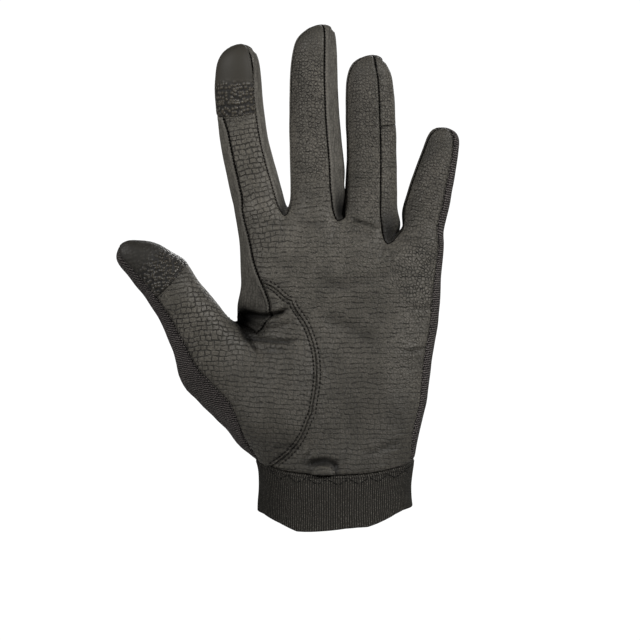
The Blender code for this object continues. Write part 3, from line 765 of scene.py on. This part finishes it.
def sewingOf(points, nodeName):
    # for each point: height change, and the distances in mm from which the material draws seams
    rowOfSeam = [rowOf(seam, nodeName) for seam in seams]
    kindOfSeam = [seamKind(seam["pair"]) for seam in seams]
    lift = np.zeros(len(points))
    sewing = np.full((len(points), 3), seamShape["none"])
    weight = np.zeros(len(points))
    for index, point in enumerate(points):
        _, nearest, distance = seamTree.find(point)
        away = distance / mm
        if away > seamShape["reach"]:
            continue
        seamNumber = seamOfPoint[nearest]
        kind, row = kindOfSeam[seamNumber], rowOfSeam[seamNumber]
        along = alongOfPoint[nearest] / mm
        pucker = math.cos(2 * math.pi * along / kind["pitch"]) * math.exp(-away)
        fall = kind["depth"] * math.exp(-(away / kind["width"]) ** 1.5)
        ridge = kind["ridge"] * math.exp(-((away - seamShape["ridgeAt"]) / seamShape["ridgeWidth"]) ** 2)
        edge = kind["edge"] if away < seamShape["edgeWithin"] else 0.0
        lift[index] = ridge + kind["pucker"] * pucker - fall - edge
        rowDistance = away - row["offset"] if row else seamShape["none"]
        if row:
            lift[index] -= row["press"] * math.exp(-(rowDistance / seamShape["rowWidth"]) ** 2)
        sewing[index] = (rowDistance, along, away)
        # how much shade is painted into the seam's line at this point
        weight[index] = kind["dark"]
    return lift * mm, sewing, weight


def cutPanel(nodeName, mesh):
    bm = bmesh.new()
    bm.from_mesh(mesh)
    bm.normal_update()
    outward = bm.verts.layers.float_vector.new("outward")
    for vertex in bm.verts:
        vertex[outward] = vertex.normal
    number = panelNames.index(nodeName)
    others = [face for face in bm.faces if face.material_index != number]
    bmesh.ops.delete(bm, geom=others, context="FACES")
    for part in ("gap", "roll"):
        ring = bmesh.ops.inset_region(bm, faces=bm.faces[:], use_boundary=True, use_even_offset=False,
                                      thickness=panelEdge[part])
        if part == "gap":
            bmesh.ops.delete(bm, geom=ring["faces"], context="FACES")
    bm.normal_update()
    return bm


def shapePanel(nodeName, mesh):
    bm = cutPanel(nodeName, mesh)
    points = np.array([vertex.co for vertex in bm.verts])
    outward = bm.verts.layers.float_vector["outward"]
    normals = np.array([vertex[outward] for vertex in bm.verts])
    lift, sewing, darkness = sewingOf(points, nodeName)
    lift += unevenness(points, nodeName) + foldLift(points, normals)
    if nodeName in patchNames:
        lift += skinSettings["patchStep"]
    shaped = points + normals * lift[:, None]
    shaped[:, 1] += fallBack(points, normals)
    pebble, smooth, tone = spotShares(points)
    # painted light and shade: the spots' painted light times the shade painted into pits and creases; it
    # goes to the colour as a third number beside the two of the grain
    light = tone * leftAfterPaintedShade(points, normals, nodeName)
    grain = np.column_stack([grainOf(points, normals, nodeName), light])
    zones = np.column_stack([darkness, pebble, smooth])
    layers = [bm.verts.layers.float_vector.new(name) for name in ("grain", "zones", "sewing")]
    for vertex, point, *values in zip(bm.verts, shaped, grain, zones, sewing):
        vertex.co = point
        for layer, value in zip(layers, values):
            vertex[layer] = value
    return bm


def addWall(bm, thickness):
    # the inner side follows the smooth skin, not the rolled edge, so that it can't fold over
    outward = bm.verts.layers.float_vector["outward"]
    made = bmesh.ops.extrude_face_region(bm, geom=bm.faces[:], use_keep_orig=True)["geom"]
    for part in made:
        if isinstance(part, bmesh.types.BMVert):
            part.co -= part[outward] * thickness
        elif isinstance(part, bmesh.types.BMFace):
            part.material_index = 1
    bmesh.ops.recalc_face_normals(bm, faces=bm.faces)


def addPiece(name, bm, slot, *finishes):
    mesh = bpy.data.meshes.new(name)
    for face in bm.faces:
        face.smooth = True
    bm.to_mesh(mesh)
    bm.free()
    for finish in finishes:
        mesh.materials.append(finish)
    piece = addObject(name, mesh)
    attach(piece, "root")
    print("piece", name, len(mesh.polygons), "faces")
    return piece


surfaces = {}


def panelPiece(node, piece, slot, finish, flat, area, levels="fine"):
    bm = shapePanel(node, fineSkin if levels == "fine" else plainSkin)
    bm.normal_update()
    surfaces[node] = BVHTree.FromBMesh(bm)
    print("panel", node, round(sum(face.calc_area() for face in bm.faces) * 1e4, 1), "cm2")
    for face in bm.faces:
        face.material_index = 0
    addWall(bm, walls[node])
    made = addPiece(piece, bm, slot, finish, backing)
    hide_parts(node)


# shader maths: a wire is one socket, and arithmetic on wires adds the nodes

class Wire:
    def __init__(self, shader, socket):
        self.shader, self.socket = shader, socket

    def __add__(self, other):
        return self.shader.maths("ADD", self, other)

    def __sub__(self, other):
        return self.shader.maths("SUBTRACT", self, other)

    def __rsub__(self, other):
        return self.shader.maths("SUBTRACT", other, self)

    def __mul__(self, other):
        return self.shader.maths("MULTIPLY", self, other)

    def __truediv__(self, other):
        return self.shader.maths("DIVIDE", self, other)

    __radd__ = __add__
    __rmul__ = __mul__

    def fraction(self):
        return self.shader.maths("FRACT", self)

    def whole(self):
        return self.shader.maths("FLOOR", self)

    def wave(self):
        return self.shader.maths("SINE", self)

    def size(self):
        return self.shader.maths("ABSOLUTE", self)

    def smaller(self, other):
        return self.shader.maths("MINIMUM", self, other)

    def larger(self, other):
        return self.shader.maths("MAXIMUM", self, other)

    def step(self, low, high, fromValue=0.0, toValue=1.0):
        return self.shader.node("ShaderNodeMapRange", {"interpolation_type": "SMOOTHSTEP"},
                                {"Value": self, "From Min": low, "From Max": high,
                                 "To Min": fromValue, "To Max": toValue})

    def into(self, first, second):
        # this share of the second and the rest of the first, for numbers
        return self.shader.node("ShaderNodeMix", {"data_type": "FLOAT"}, {0: self, 2: first, 3: second})


class Shader:
    def __init__(self, name):
        self.material = bpy.data.materials.new(name)
        self.material.use_nodes = True
        self.tree = self.material.node_tree
        self.surface = self.tree.nodes["Principled BSDF"]

    def feed(self, socket, value):
        if isinstance(value, Wire):
            self.tree.links.new(value.socket, socket)
        elif isinstance(value, (tuple, list)) and len(value) == 3 and len(socket.default_value) == 4:
            socket.default_value = (*value, 1.0)
        else:
            socket.default_value = value

    def node(self, kind, settings=None, inputs=None, output=0):
        made = self.tree.nodes.new(kind)
        for name, value in (settings or {}).items():
            setattr(made, name, value)
        for name, value in (inputs or {}).items():
            self.feed(made.inputs[name], value)
        return Wire(self, made.outputs[output])

    def maths(self, operation, *values):
        return self.node("ShaderNodeMath", {"operation": operation}, dict(enumerate(values)))

    def split(self, vector):
        parts = self.tree.nodes.new("ShaderNodeSeparateXYZ")
        self.feed(parts.inputs[0], vector)
        return [Wire(self, output) for output in parts.outputs]

    def join(self, x, y, z=0.0):
        return self.node("ShaderNodeCombineXYZ", None, {0: x, 1: y, 2: z})

    def attribute(self, name):
        return self.split(self.node("ShaderNodeAttribute", {"attribute_name": name}, None, "Vector"))

    def place(self):
        return self.node("ShaderNodeTexCoord", None, None, "Object")

    def noise(self, vector, span, detail=2.0, roughness=0.5):
        return self.node("ShaderNodeTexNoise", None, {"Vector": vector, "Scale": 1.0 / span,
                                                      "Detail": detail, "Roughness": roughness})

    def cells(self, vector, span, feature="DISTANCE_TO_EDGE", randomness=0.9):
        return self.node("ShaderNodeTexVoronoi", {"voronoi_dimensions": "2D", "feature": feature},
                         {"Vector": vector, "Scale": 1.0 / span, "Randomness": randomness})

    def tint(self, share, first, second):
        return self.node("ShaderNodeMix", {"data_type": "RGBA"}, {0: share, 6: first, 7: second}, 2)

    def finish(self, colour, roughness, height, specular):
        self.feed(self.surface.inputs["Base Color"], colour)
        self.feed(self.surface.inputs["Roughness"], roughness)
        bump = self.node("ShaderNodeBump", None, {"Height": height, "Distance": mm, "Strength": 1.0})
        self.feed(self.surface.inputs["Normal"], bump)
        self.feed(self.surface.inputs["Specular IOR Level"], specular)
        return self.material


# the groove colour is painted shade in the grooves of the embossing, the seams' lines and the stitch
# channels, and half of it darkens the specks
leather = {
    "light": (0.124, 0.113, 0.094), "dark": (0.086, 0.079, 0.065), "groove": (0.012, 0.011, 0.0095),
    "rowPitch": 2.05 * mm, "cellWidth": 2.5 * mm, "pebble": 1.35 * mm,
    "rowGroove": 0.42, "sideGroove": 0.40, "rowWeight": 0.90, "sideWeight": 0.85, "pebbleWeight": 0.90,
    "roughness": 0.50, "depth": 0.34, "fineGrain": 0.07, "specular": 0.20,
    # spans of the noises that bend the rows, fade and break them, and mottle the colour
    "wander": 7.0 * mm, "ragged": 1.7 * mm, "fade": 2.4 * mm, "breaks": 2.3 * mm,
    "fine": 0.45 * mm, "speck": 0.9 * mm, "patchy": 11.0 * mm,
}
# how the painted shade of a seam's line and of a stitch channel is drawn, in mm
seamLine = {"low": 0.10, "high": 0.46, "notch": 0.30, "pitch": 1.25,
            "rowLow": 0.12, "rowHigh": 0.50, "rowPitch": 1.75}


def seamShade(shader, weight):
    # painted shade: the dark notched line in the valley of a seam, and the channel that a row of stitches
    # lies in
    rowDistance, along, seamDistance = shader.attribute("sewing")
    notch = (along * (2 * math.pi / seamLine["pitch"])).wave() * seamLine["notch"] * 0.5
    line = (seamDistance - notch).step(seamLine["low"], seamLine["high"], 1.0, 0.0) * weight
    dots = (along * (2 * math.pi / seamLine["rowPitch"])).wave().step(-0.5, 0.5, 0.25, 1.0)
    channel = rowDistance.size().step(seamLine["rowLow"], seamLine["rowHigh"], 1.0, 0.0) * dots
    return line, channel, seamDistance


def leatherMaterial(name):
    shader = Shader(name)
    across, up, tone = shader.attribute("grain")
    weight, pebble, smooth = shader.attribute("zones")
    flat = shader.join(across, up)
    wander = shader.noise(flat, leather["wander"], 1.0) - 0.5
    ragged = shader.noise(flat, leather["ragged"], 1.0) - 0.5
    rowPlace = up / leather["rowPitch"] + wander * 1.3 + ragged * 0.55
    row, inRow = rowPlace.whole(), rowPlace.fraction()
    toRow = inRow.smaller(1.0 - inRow) * (leather["rowPitch"] / mm)
    chance = shader.node("ShaderNodeTexWhiteNoise", {"noise_dimensions": "1D"}, {"W": row})
    column = across / leather["cellWidth"] * (chance * 0.5 + 0.8) + chance * 37.0 + ragged * 0.25
    toSide = shader.node("ShaderNodeTexVoronoi", {"voronoi_dimensions": "1D", "feature": "DISTANCE_TO_EDGE"},
                         {"W": column, "Scale": 1.0, "Randomness": 0.6}) * (leather["cellWidth"] / mm)
    fade = shader.noise(flat, leather["fade"], 2.0).step(0.28, 0.58, 0.35, 1.0)
    dash = pebble.step(0.04, 0.28)
    broken = shader.noise(shader.join(across, up * 1.6), leather["breaks"], 1.0).step(0.36, 0.52)
    rowLine = toRow.step(0.05, leather["rowGroove"], leather["rowWeight"], 0.0) * dash.into(1.0, broken)
    sideLine = toSide.step(0.05, leather["sideGroove"], leather["sideWeight"], 0.0) * (1.0 - dash * 0.75)
    brick = rowLine.larger(sideLine)
    bend = shader.join(across + ragged * (0.25 * mm), up + wander * (1.5 * mm))
    cells = shader.cells(bend, leather["pebble"])
    ring = cells.step(0.03, 0.27, leather["pebbleWeight"], 0.0)
    groove = pebble.into(brick * fade, (ring + rowLine * 0.25) * fade.larger(0.6)) * (1.0 - smooth * 0.85)
    fine = shader.noise(flat, leather["fine"], 3.0, 0.65)
    speck = shader.noise(flat, leather["speck"], 1.0)
    patchy = shader.noise(flat, leather["patchy"], 3.0, 0.6).step(0.3, 0.7)
    line, channel, _ = seamShade(shader, weight)
    # the leather's patchy colour, lightened or darkened by the painted light and shade
    mottleAndPaintedLight = shader.tint(tone, black, shader.tint(patchy, leather["dark"], leather["light"]))
    grit = (fine + speck) * 0.5
    mottled = shader.tint(grit.step(0.36, 0.62), shader.tint(0.50, mottleAndPaintedLight, leather["groove"]), mottleAndPaintedLight)
    # painted shade: grooves, seam lines and stitch channels take the near-black groove colour
    colour = shader.tint(groove.larger(channel * 0.9).larger(line), mottled, leather["groove"])
    height = (1.0 - groove) * leather["depth"] + fine * leather["fineGrain"] + speck * 0.14
    height = height - line * 0.35 - channel * 0.22
    roughness = leather["roughness"] + groove * 0.25 + (fine - 0.5) * 0.15
    return shader.finish(colour, roughness, height, leather["specular"])


# edge is a painted highlight on the strip's rolled edges; groove is painted shade in its cells and seam
# lines
suede = {"light": (0.104, 0.097, 0.083), "dark": (0.052, 0.048, 0.041), "edge": (0.145, 0.135, 0.117),
         "groove": (0.013, 0.012, 0.0105), "roughness": 0.72, "specular": 0.15,
         "streakWidth": 0.7 * mm, "streakLength": 4.5 * mm, "cell": 1.5 * mm, "fine": 0.5 * mm}


def stripMaterial(name):
    # soft strip beside the fingers: fine streaks along it, with a painted highlight where it rolls into its
    # seams
    shader = Shader(name)
    across, up, tone = shader.attribute("grain")
    weight, _, _ = shader.attribute("zones")
    flat = shader.join(across, up)
    stretched = shader.join(across / suede["streakWidth"], up / suede["streakLength"])
    streaks = shader.noise(stretched, 1.0, 3.0, 0.6)
    fine = shader.noise(flat, suede["fine"], 3.0, 0.65)
    cell = shader.cells(flat, suede["cell"]).step(0.02, 0.25, 0.35, 0.0)
    line, channel, seamDistance = seamShade(shader, weight)
    base = shader.tint(streaks.step(0.30, 0.70), suede["dark"], suede["light"])
    # painted highlight where the strip rolls into its seams
    rolledEdgeHighlight = seamDistance.step(0.5, 1.9, 0.70, 0.0)
    colour = shader.tint(cell, shader.tint(rolledEdgeHighlight, base, suede["edge"]), suede["groove"])
    # painted light and shade from the spots, pits and creases
    colour = shader.tint(tone, black, colour)
    colour = shader.tint(line.larger(channel * 0.5), colour, suede["groove"])
    height = streaks * 0.10 + fine * 0.06 - cell * 0.12 - line * 0.35 - channel * 0.2
    return shader.finish(colour, suede["roughness"] + (fine - 0.5) * 0.12, height, suede["specular"])


grip = {"top": (0.058, 0.050, 0.038), "valley": (0.0075, 0.0065, 0.005), "smooth": (0.030, 0.0265, 0.0202),
        "pebble": 1.55 * mm, "randomness": 0.80, "depth": 0.42, "roughness": 0.66, "specular": 0.30,
        "bend": 0.25 * mm, "bendSpan": 2.0 * mm, "fine": 0.35 * mm}


def gripMaterial(name):
    # raised round grains between deep cracks, worn smooth towards the tip
    shader = Shader(name)
    across, up, tone = shader.attribute("grain")
    _, _, smooth = shader.attribute("zones")
    flat = shader.join(across, up)
    bend = shader.noise(flat, grip["bendSpan"], 1.0) - 0.5
    bent = shader.join(across + bend * grip["bend"], up - bend * grip["bend"])
    dome = shader.cells(bent, grip["pebble"], "F1", grip["randomness"]).step(0.10, 0.62, 1.0, 0.0)
    fine = shader.noise(flat, grip["fine"], 3.0, 0.6)
    rough = smooth.step(0.22, 0.75, 1.0, 0.0)
    # painted shade: the valleys between the domes take a near-black colour
    pebbled = shader.tint(dome, grip["valley"], grip["top"])
    # painted light and shade from the spots
    colour = shader.tint(tone, black, shader.tint(rough, grip["smooth"], pebbled))
    height = dome * rough * grip["depth"] + fine * 0.04
    roughness = grip["roughness"] - dome * rough * 0.36 + (fine - 0.5) * 0.18
    return shader.finish(colour, roughness, height, grip["specular"])


# light is the colour of painted glints on the loops, gap the painted shade between them
knit = {"light": (0.190, 0.170, 0.160), "thread": (0.034, 0.030, 0.029), "gap": (0.007, 0.006, 0.006),
        "wale": 1.30 * mm, "course": 0.95 * mm, "lean": 0.26, "depth": 0.22, "sway": 9.0 * mm,
        "fuzz": 0.30 * mm, "roughness": 0.82, "specular": 0.10}


def knitMaterial(name):
    # loops of thread in columns: each loop is a small v
    shader = Shader(name)
    across, up, _ = shader.attribute("grain")
    flat = shader.join(across, up)
    sway = shader.noise(flat, knit["sway"], 1.0) - 0.5
    column = (across + up * knit["lean"]) / knit["wale"] + sway * 0.4
    side = (column.fraction() - 0.5).size() * 2.0
    rise = (up / knit["course"] + side * 0.35).fraction()
    loop = (rise - 0.5).size().step(0.12, 0.46, 1.0, 0.0)
    body = side.step(0.05, 0.30) * side.step(0.72, 1.0, 1.0, 0.0)
    thread = loop * body
    fuzz = shader.noise(flat, knit["fuzz"], 3.0, 0.7)
    # painted shade in the gaps between the loops, and painted glints on the loops' tops
    colour = shader.tint(thread.step(0.15, 0.9), knit["gap"], knit["thread"])
    glint = (thread * fuzz.step(0.34, 0.60)).step(0.30, 0.85)
    colour = shader.tint(glint, colour, knit["light"])
    height = thread * knit["depth"] + fuzz * 0.10
    return shader.finish(colour, knit["roughness"] - glint * 0.15, height, knit["specular"])


# light is the colour of painted highlights on the raised weave, gap the painted shade between the ribs
rib = {"light": (0.170, 0.160, 0.138), "thread": (0.042, 0.039, 0.033), "gap": (0.013, 0.012, 0.0105),
       "count": 176, "across": 31.8 * mm, "deep": 22.0 * mm, "evening": 0.091, "weft": 0.52 * mm,
       "depth": 0.24, "fuzz": 0.35 * mm, "roughness": 0.86, "specular": 0.10,
       # painted shade: towards its two sides the cuff's colour darkens: from which x to which in mm, and the
       # lightness left
       "shades": ((-33.0, -16.0, 0.55), (33.0, 22.0, 0.70))}


def ribMaterial(name):
    # upright ribs round the wrist, crossed by fine weft threads
    shader = Shader(name)
    x, y, z = shader.split(shader.place())
    angle = shader.maths("ARCTAN2", y / rib["deep"], x / rib["across"])
    turn = angle - (angle * 2.0).wave() * rib["evening"]
    ribs = (turn * float(rib["count"])).wave() * 0.5 + 0.5
    odd = (turn * (rib["count"] / 2)).wave().step(-0.2, 0.2)
    beads = ((z / rib["weft"] + odd * 0.5) * (2 * math.pi)).wave() * 0.5 + 0.5
    fuzz = shader.noise(shader.place(), rib["fuzz"], 3.0, 0.7)
    weave = ribs * 0.40 + ribs * beads * 0.60
    # painted shade in the gaps between the ribs, and painted highlights on the raised weave
    colour = shader.tint(weave.step(0.05, 0.85), rib["gap"], rib["thread"])
    colour = shader.tint((weave * fuzz.step(0.35, 0.65)).step(0.30, 0.85), colour, rib["light"])
    for outer, inner, shade in rib["shades"]:
        colour = shader.tint((x / mm).step(outer, inner, shade, 1.0), black, colour)
    height = weave * rib["depth"] + fuzz * 0.08
    return shader.finish(colour, rib["roughness"], height, rib["specular"])


sewn = {"dark": (0.003, 0.003, 0.0025), "light": (0.012, 0.011, 0.010), "span": 0.25 * mm,
        "detail": (2.0, 0.5), "roughness": 0.6, "depth": 0.05, "specular": 0.08}
# the inner side of every panel, seen through the wrist opening
inside = {"dark": (0.012, 0.012, 0.012), "light": (0.035, 0.034, 0.033), "span": 0.6 * mm,
          "detail": (3.0, 0.6), "roughness": 0.9, "depth": 0.1, "specular": 0.2}


def plainMaterial(name, look):
    shader = Shader(name)
    weave = shader.noise(shader.place(), look["span"], *look["detail"])
    colour = shader.tint(weave, look["dark"], look["light"])
    return shader.finish(colour, look["roughness"], weave * look["depth"], look["specular"])


embossedLeather = leatherMaterial("embossed_leather")
sideSuede = stripMaterial("side_suede")
gripPebble = gripMaterial("grip_pebble")
backKnit = knitMaterial("back_knit")
elasticRib = ribMaterial("elastic_rib")
seamThread = plainMaterial("seam_thread", sewn)
backing = plainMaterial("inner_backing", inside)

# Each panel's piece, finish and the size it was cut to: width and length in m, area in m2.
panels = table("node piece slot finish flat area levels", (
    ("palm_panel", "palm", "embossed_leather", embossedLeather, (0.105, 0.190), 0.0104),
    ("thumb_panel", "thumb", "embossed_leather", embossedLeather, (0.062, 0.095), 0.0033),
    ("back_panel", "back", "knit", backKnit, (0.165, 0.200), 0.0174, "plain"),
    ("index_side_wall", "index_side", "side_strip", sideSuede, (0.026, 0.125), 0.0020),
    ("sidewall_index_middle", "strip_index_middle", "side_strip", sideSuede, (0.014, 0.150), 0.0019),
    ("sidewall_middle_ring", "strip_middle_ring", "side_strip", sideSuede, (0.015, 0.155), 0.0020),
    ("sidewall_ring_little", "strip_ring_little", "side_strip", embossedLeather, (0.014, 0.115), 0.0014),
    ("sidewall_ring_tip", "strip_ring_tip", "embossed_leather", embossedLeather, (0.013, 0.040), 0.0005),
    ("index_touch_patch", "index_patch", "grip_patch", gripPebble, (0.020, 0.036), 0.0006),
    ("thumb_touch_patch", "thumb_patch", "grip_patch", gripPebble, (0.022, 0.030), 0.0005),
    ("cuff", "wrist_cuff", "elastic_rib", elasticRib, (0.180, 0.022), 0.0034),
))
for panel in panels:
    panelPiece(**panel)

# the stitches

stitch = {"sides": 6, "rings": 4, "flatness": 0.8, "rise": 0.15, "farthest": 4.0 * mm}
stitchShape = bmesh.new()
bmesh.ops.create_uvsphere(stitchShape, u_segments=stitch["sides"], v_segments=stitch["rings"], radius=0.5)
stitchMesh = bpy.data.meshes.new("stitch")
stitchShape.to_mesh(stitchMesh)
stitchShape.free()
stitchPoints = readNumbers(stitchMesh.vertices, "co", each=3)


def addStitch(bm, place, ahead, upward, length, thickness):
    side = upward.cross(ahead).normalized()
    ahead = side.cross(upward).normalized()
    turn = Matrix((ahead, side, upward)).transposed().to_4x4()
    sized = Matrix.Diagonal((length, thickness, thickness * stitch["flatness"], 1.0))
    stitchMesh.vertices.foreach_set("co", stitchPoints.ravel())
    stitchMesh.transform(Matrix.Translation(place) @ turn @ sized)
    bm.from_mesh(stitchMesh)


def stitchRow(bm, entry):
    row = entry["row"]
    every = max(1, int(round(row["pitch"] * mm / seamSpacing)))
    for place, ahead, upward in entry["path"][every // 2::every]:
        spot, normal, _, gap = surfaces[row["panel"]].find_nearest(place)
        if gap is not None and gap < stitch["farthest"]:
            addStitch(bm, spot + normal * row["thickness"] * stitch["rise"] * mm, ahead, normal,
                      row["length"] * mm, row["thickness"] * mm)


def crossStitches(bm, seam):
    every = max(1, int(round(crossThreads["pitch"] * mm / seamSpacing)))
    line = seam["points"]
    for index in range(every, len(line) - every, every):
        ahead = (Vector(line[index + every]) - Vector(line[index - every])).normalized()
        place, normal, _, _ = skinSurface.find_nearest(Vector(line[index]))
        across = (normal.cross(ahead) + ahead * crossThreads["slant"]).normalized()
        spot = place - normal * crossThreads["sink"] * mm
        spot.y += float(fallBack(np.array([place]), np.array([normal]))[0])
        addStitch(bm, spot, across, normal, crossThreads["length"] * mm, crossThreads["thickness"] * mm)


def zigzagStitches(bm):
    wrist = next(seam for seam in seams if set(seam["pair"]) == {"palm_panel", "cuff"})
    top = beside(wrist, "cuff", zigzag["under"] * mm)
    stroke = max(2, int(round(zigzag["stroke"] * mm / seamSpacing)))
    down = Vector((0.0, 0.0, -1.0))
    for order, index in enumerate(range(0, len(top) - stroke, stroke)):
        ends = []
        for corner, low in ((index, order % 2), (index + stroke, 1 - order % 2)):
            ends.append(top[corner][0] + down * (zigzag["top"] + zigzag["fall"] * low) * mm)
        for share in zigzag["shares"]:
            spot, normal, _, _ = surfaces["cuff"].find_nearest(ends[0].lerp(ends[1], share))
            addStitch(bm, spot + normal * zigzag["rise"] * mm, (ends[1] - ends[0]).normalized(), normal,
                      (ends[1] - ends[0]).length * zigzag["stitch"], zigzag["thickness"] * mm)


# the half-moon tab, tucked into the wrist seam on the palm side

# the tab's colour is darkened by painted shade, like the low palm around it
tab = {"centre": (-4.3, 14.5), "halfWidth": 5.0, "height": 3.5, "crown": 1.25, "stand": 0.45, "wall": 0.7,
       "foot": 0.14, "palmFrom": 15.2, "sides": 40, "insets": (0.06, 0.12, 0.2, 0.25, 0.2),
       "tone": 0.60, "pebble": 0.3, "smooth": 0.3}


def makeTab():
    bm = bmesh.new()
    bmesh.ops.create_circle(bm, cap_ends=True, segments=tab["sides"], radius=1.0)
    for width in tab["insets"]:
        inner = [face for face in bm.faces if len(face.verts) == tab["sides"]]
        bmesh.ops.inset_region(bm, faces=inner, thickness=width, use_boundary=True)
    inner = [face for face in bm.faces if len(face.verts) == tab["sides"]]
    bmesh.ops.poke(bm, faces=inner)
    for vertex in bm.verts:
        across, high = vertex.co.x, vertex.co.y
        crown = math.sqrt(max(0.0, 1.0 - across * across - high * high))
        x = tab["centre"][0] + tab["halfWidth"] * across
        z = tab["centre"][1] + tab["height"] * (high if high > 0 else tab["foot"] * high)
        hit = fromPalmSide(surfaces["palm_panel"], x, max(z, tab["palmFrom"]))
        vertex.co = (x * mm, hit.y - (tab["stand"] + tab["crown"] * crown) * mm, z * mm)
    bmesh.ops.recalc_face_normals(bm, faces=bm.faces)
    if sum(face.normal.y for face in bm.faces) > 0:
        bmesh.ops.reverse_faces(bm, faces=bm.faces)
    count = len(bm.verts)
    values = {"grain": np.array([(vertex.co.x, vertex.co.z, tab["tone"]) for vertex in bm.verts]),
              "zones": np.tile((0.0, tab["pebble"], tab["smooth"]), (count, 1)),
              "sewing": np.full((count, 3), seamShape["none"])}
    piece = addPiece("wrist_flap", bm, "embossed_leather", embossedLeather)
    for name, data in values.items():
        layer = piece.data.attributes.new(name, "FLOAT_VECTOR", "POINT")
        layer.data.foreach_set("vector", data.astype(np.float32).ravel())
    wall = piece.modifiers.new("wall", "SOLIDIFY")
    wall.thickness = tab["wall"] * mm
    wall.offset = -1.0
    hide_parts("wrist_tab")


threads, cuffThreads = bmesh.new(), bmesh.new()
for entry in stitchPaths:
    stitchRow(cuffThreads if entry["row"]["panel"] == "cuff" else threads, entry)
for seam in seams:
    if "palm_panel" in seam["pair"] and any("side" in panel for panel in seam["pair"]):
        crossStitches(threads, seam)
zigzagStitches(cuffThreads)
addPiece("leather_thread", threads, "embossed_leather", seamThread)
makeTab()
addPiece("cuff_thread", cuffThreads, "elastic_rib", seamThread)

# the stage: pale floor, white surroundings, soft lights and the camera

stage = {
    "pixel": 0.41 * mm,             # size of a pixel at the glove's middle depth
    "originAt": (333.5, 508.0),     # the wrist opening's centre in the picture
    "pictureSize": 640,
    "distance": 2.0,
    "sensor": 36.0,
    "floorHeight": -0.25,
    "floorRadius": 2.6,
    "floorColour": (0.82, 0.82, 0.81),
    "floorRoughness": 0.9,
    "ambient": 0.06,
    "backdrop": 1.05,
}


def makeStage():
    floorMesh = bmesh.new()
    bmesh.ops.create_circle(floorMesh, cap_ends=True, segments=96, radius=stage["floorRadius"],
                            matrix=Matrix.Translation((0, 0, stage["floorHeight"])))
    mesh = bpy.data.meshes.new("studio_floor")
    floorMesh.to_mesh(mesh)
    floorMesh.free()
    floor = addObject("studio_floor", mesh)
    shader = Shader("pale_floor")
    shader.feed(shader.surface.inputs["Base Color"], stage["floorColour"])
    shader.feed(shader.surface.inputs["Roughness"], stage["floorRoughness"])
    mesh.materials.append(shader.material)


def makeSurroundings():
    world = bpy.data.worlds.new("studio")
    world.use_nodes = True
    tree = world.node_tree
    light = tree.nodes["Background"]
    light.inputs["Strength"].default_value = stage["ambient"]
    seen = tree.nodes.new("ShaderNodeBackground")
    seen.inputs["Strength"].default_value = stage["backdrop"]
    for background in (light, seen):
        background.inputs["Color"].default_value = (1.0, 1.0, 1.0, 1.0)
    pick = tree.nodes.new("ShaderNodeMixShader")
    path = tree.nodes.new("ShaderNodeLightPath")
    tree.links.new(path.outputs["Is Camera Ray"], pick.inputs[0])
    tree.links.new(light.outputs[0], pick.inputs[1])
    tree.links.new(seen.outputs[0], pick.inputs[2])
    tree.links.new(pick.outputs[0], tree.nodes["World Output"].inputs["Surface"])
    bpy.context.scene.world = world


lamps = {
    "left": {"at": (-0.34, -0.25, 0.27), "to": (-0.02, 0.0, 0.13), "size": 0.14, "power": 1.6},
    "right": {"at": (0.32, -0.25, 0.27), "to": (0.03, 0.0, 0.13), "size": 0.14, "power": 2.35},
    "front_fill": {"at": (0.0, -1.3, 0.45), "to": (0.0, 0.0, 0.10), "size": 0.80, "power": 0.6},
    "back_fill": {"at": (0.25, 0.80, 0.60), "to": (0.0, 0.0, 0.10), "size": 0.60, "power": 6.0},
}


def makeLamps():
    for name, lamp in lamps.items():
        data = bpy.data.lights.new(name, "AREA")
        data.energy = lamp["power"]
        data.size = lamp["size"]
        holder = addObject(name, data)
        holder.location = lamp["at"]
        aim = Vector(lamp["to"]) - Vector(lamp["at"])
        holder.rotation_euler = aim.to_track_quat("-Z", "Y").to_euler()


def makeCamera():
    middle = stage["pictureSize"] / 2
    x = (middle - stage["originAt"][0]) * stage["pixel"]
    z = (stage["originAt"][1] - middle) * stage["pixel"]
    data = bpy.data.cameras.new("camera")
    data.sensor_width = stage["sensor"]
    data.lens = stage["sensor"] * stage["distance"] / (stage["pictureSize"] * stage["pixel"])
    data.clip_end = 20.0
    camera = addObject("camera", data)
    camera.location = (x, -stage["distance"], z)
    camera.rotation_euler = (math.radians(90), 0.0, 0.0)
    bpy.context.scene.camera = camera


makeStage()
makeSurroundings()
makeLamps()
makeCamera()
bpy.context.scene.view_settings.view_transform = "Standard"
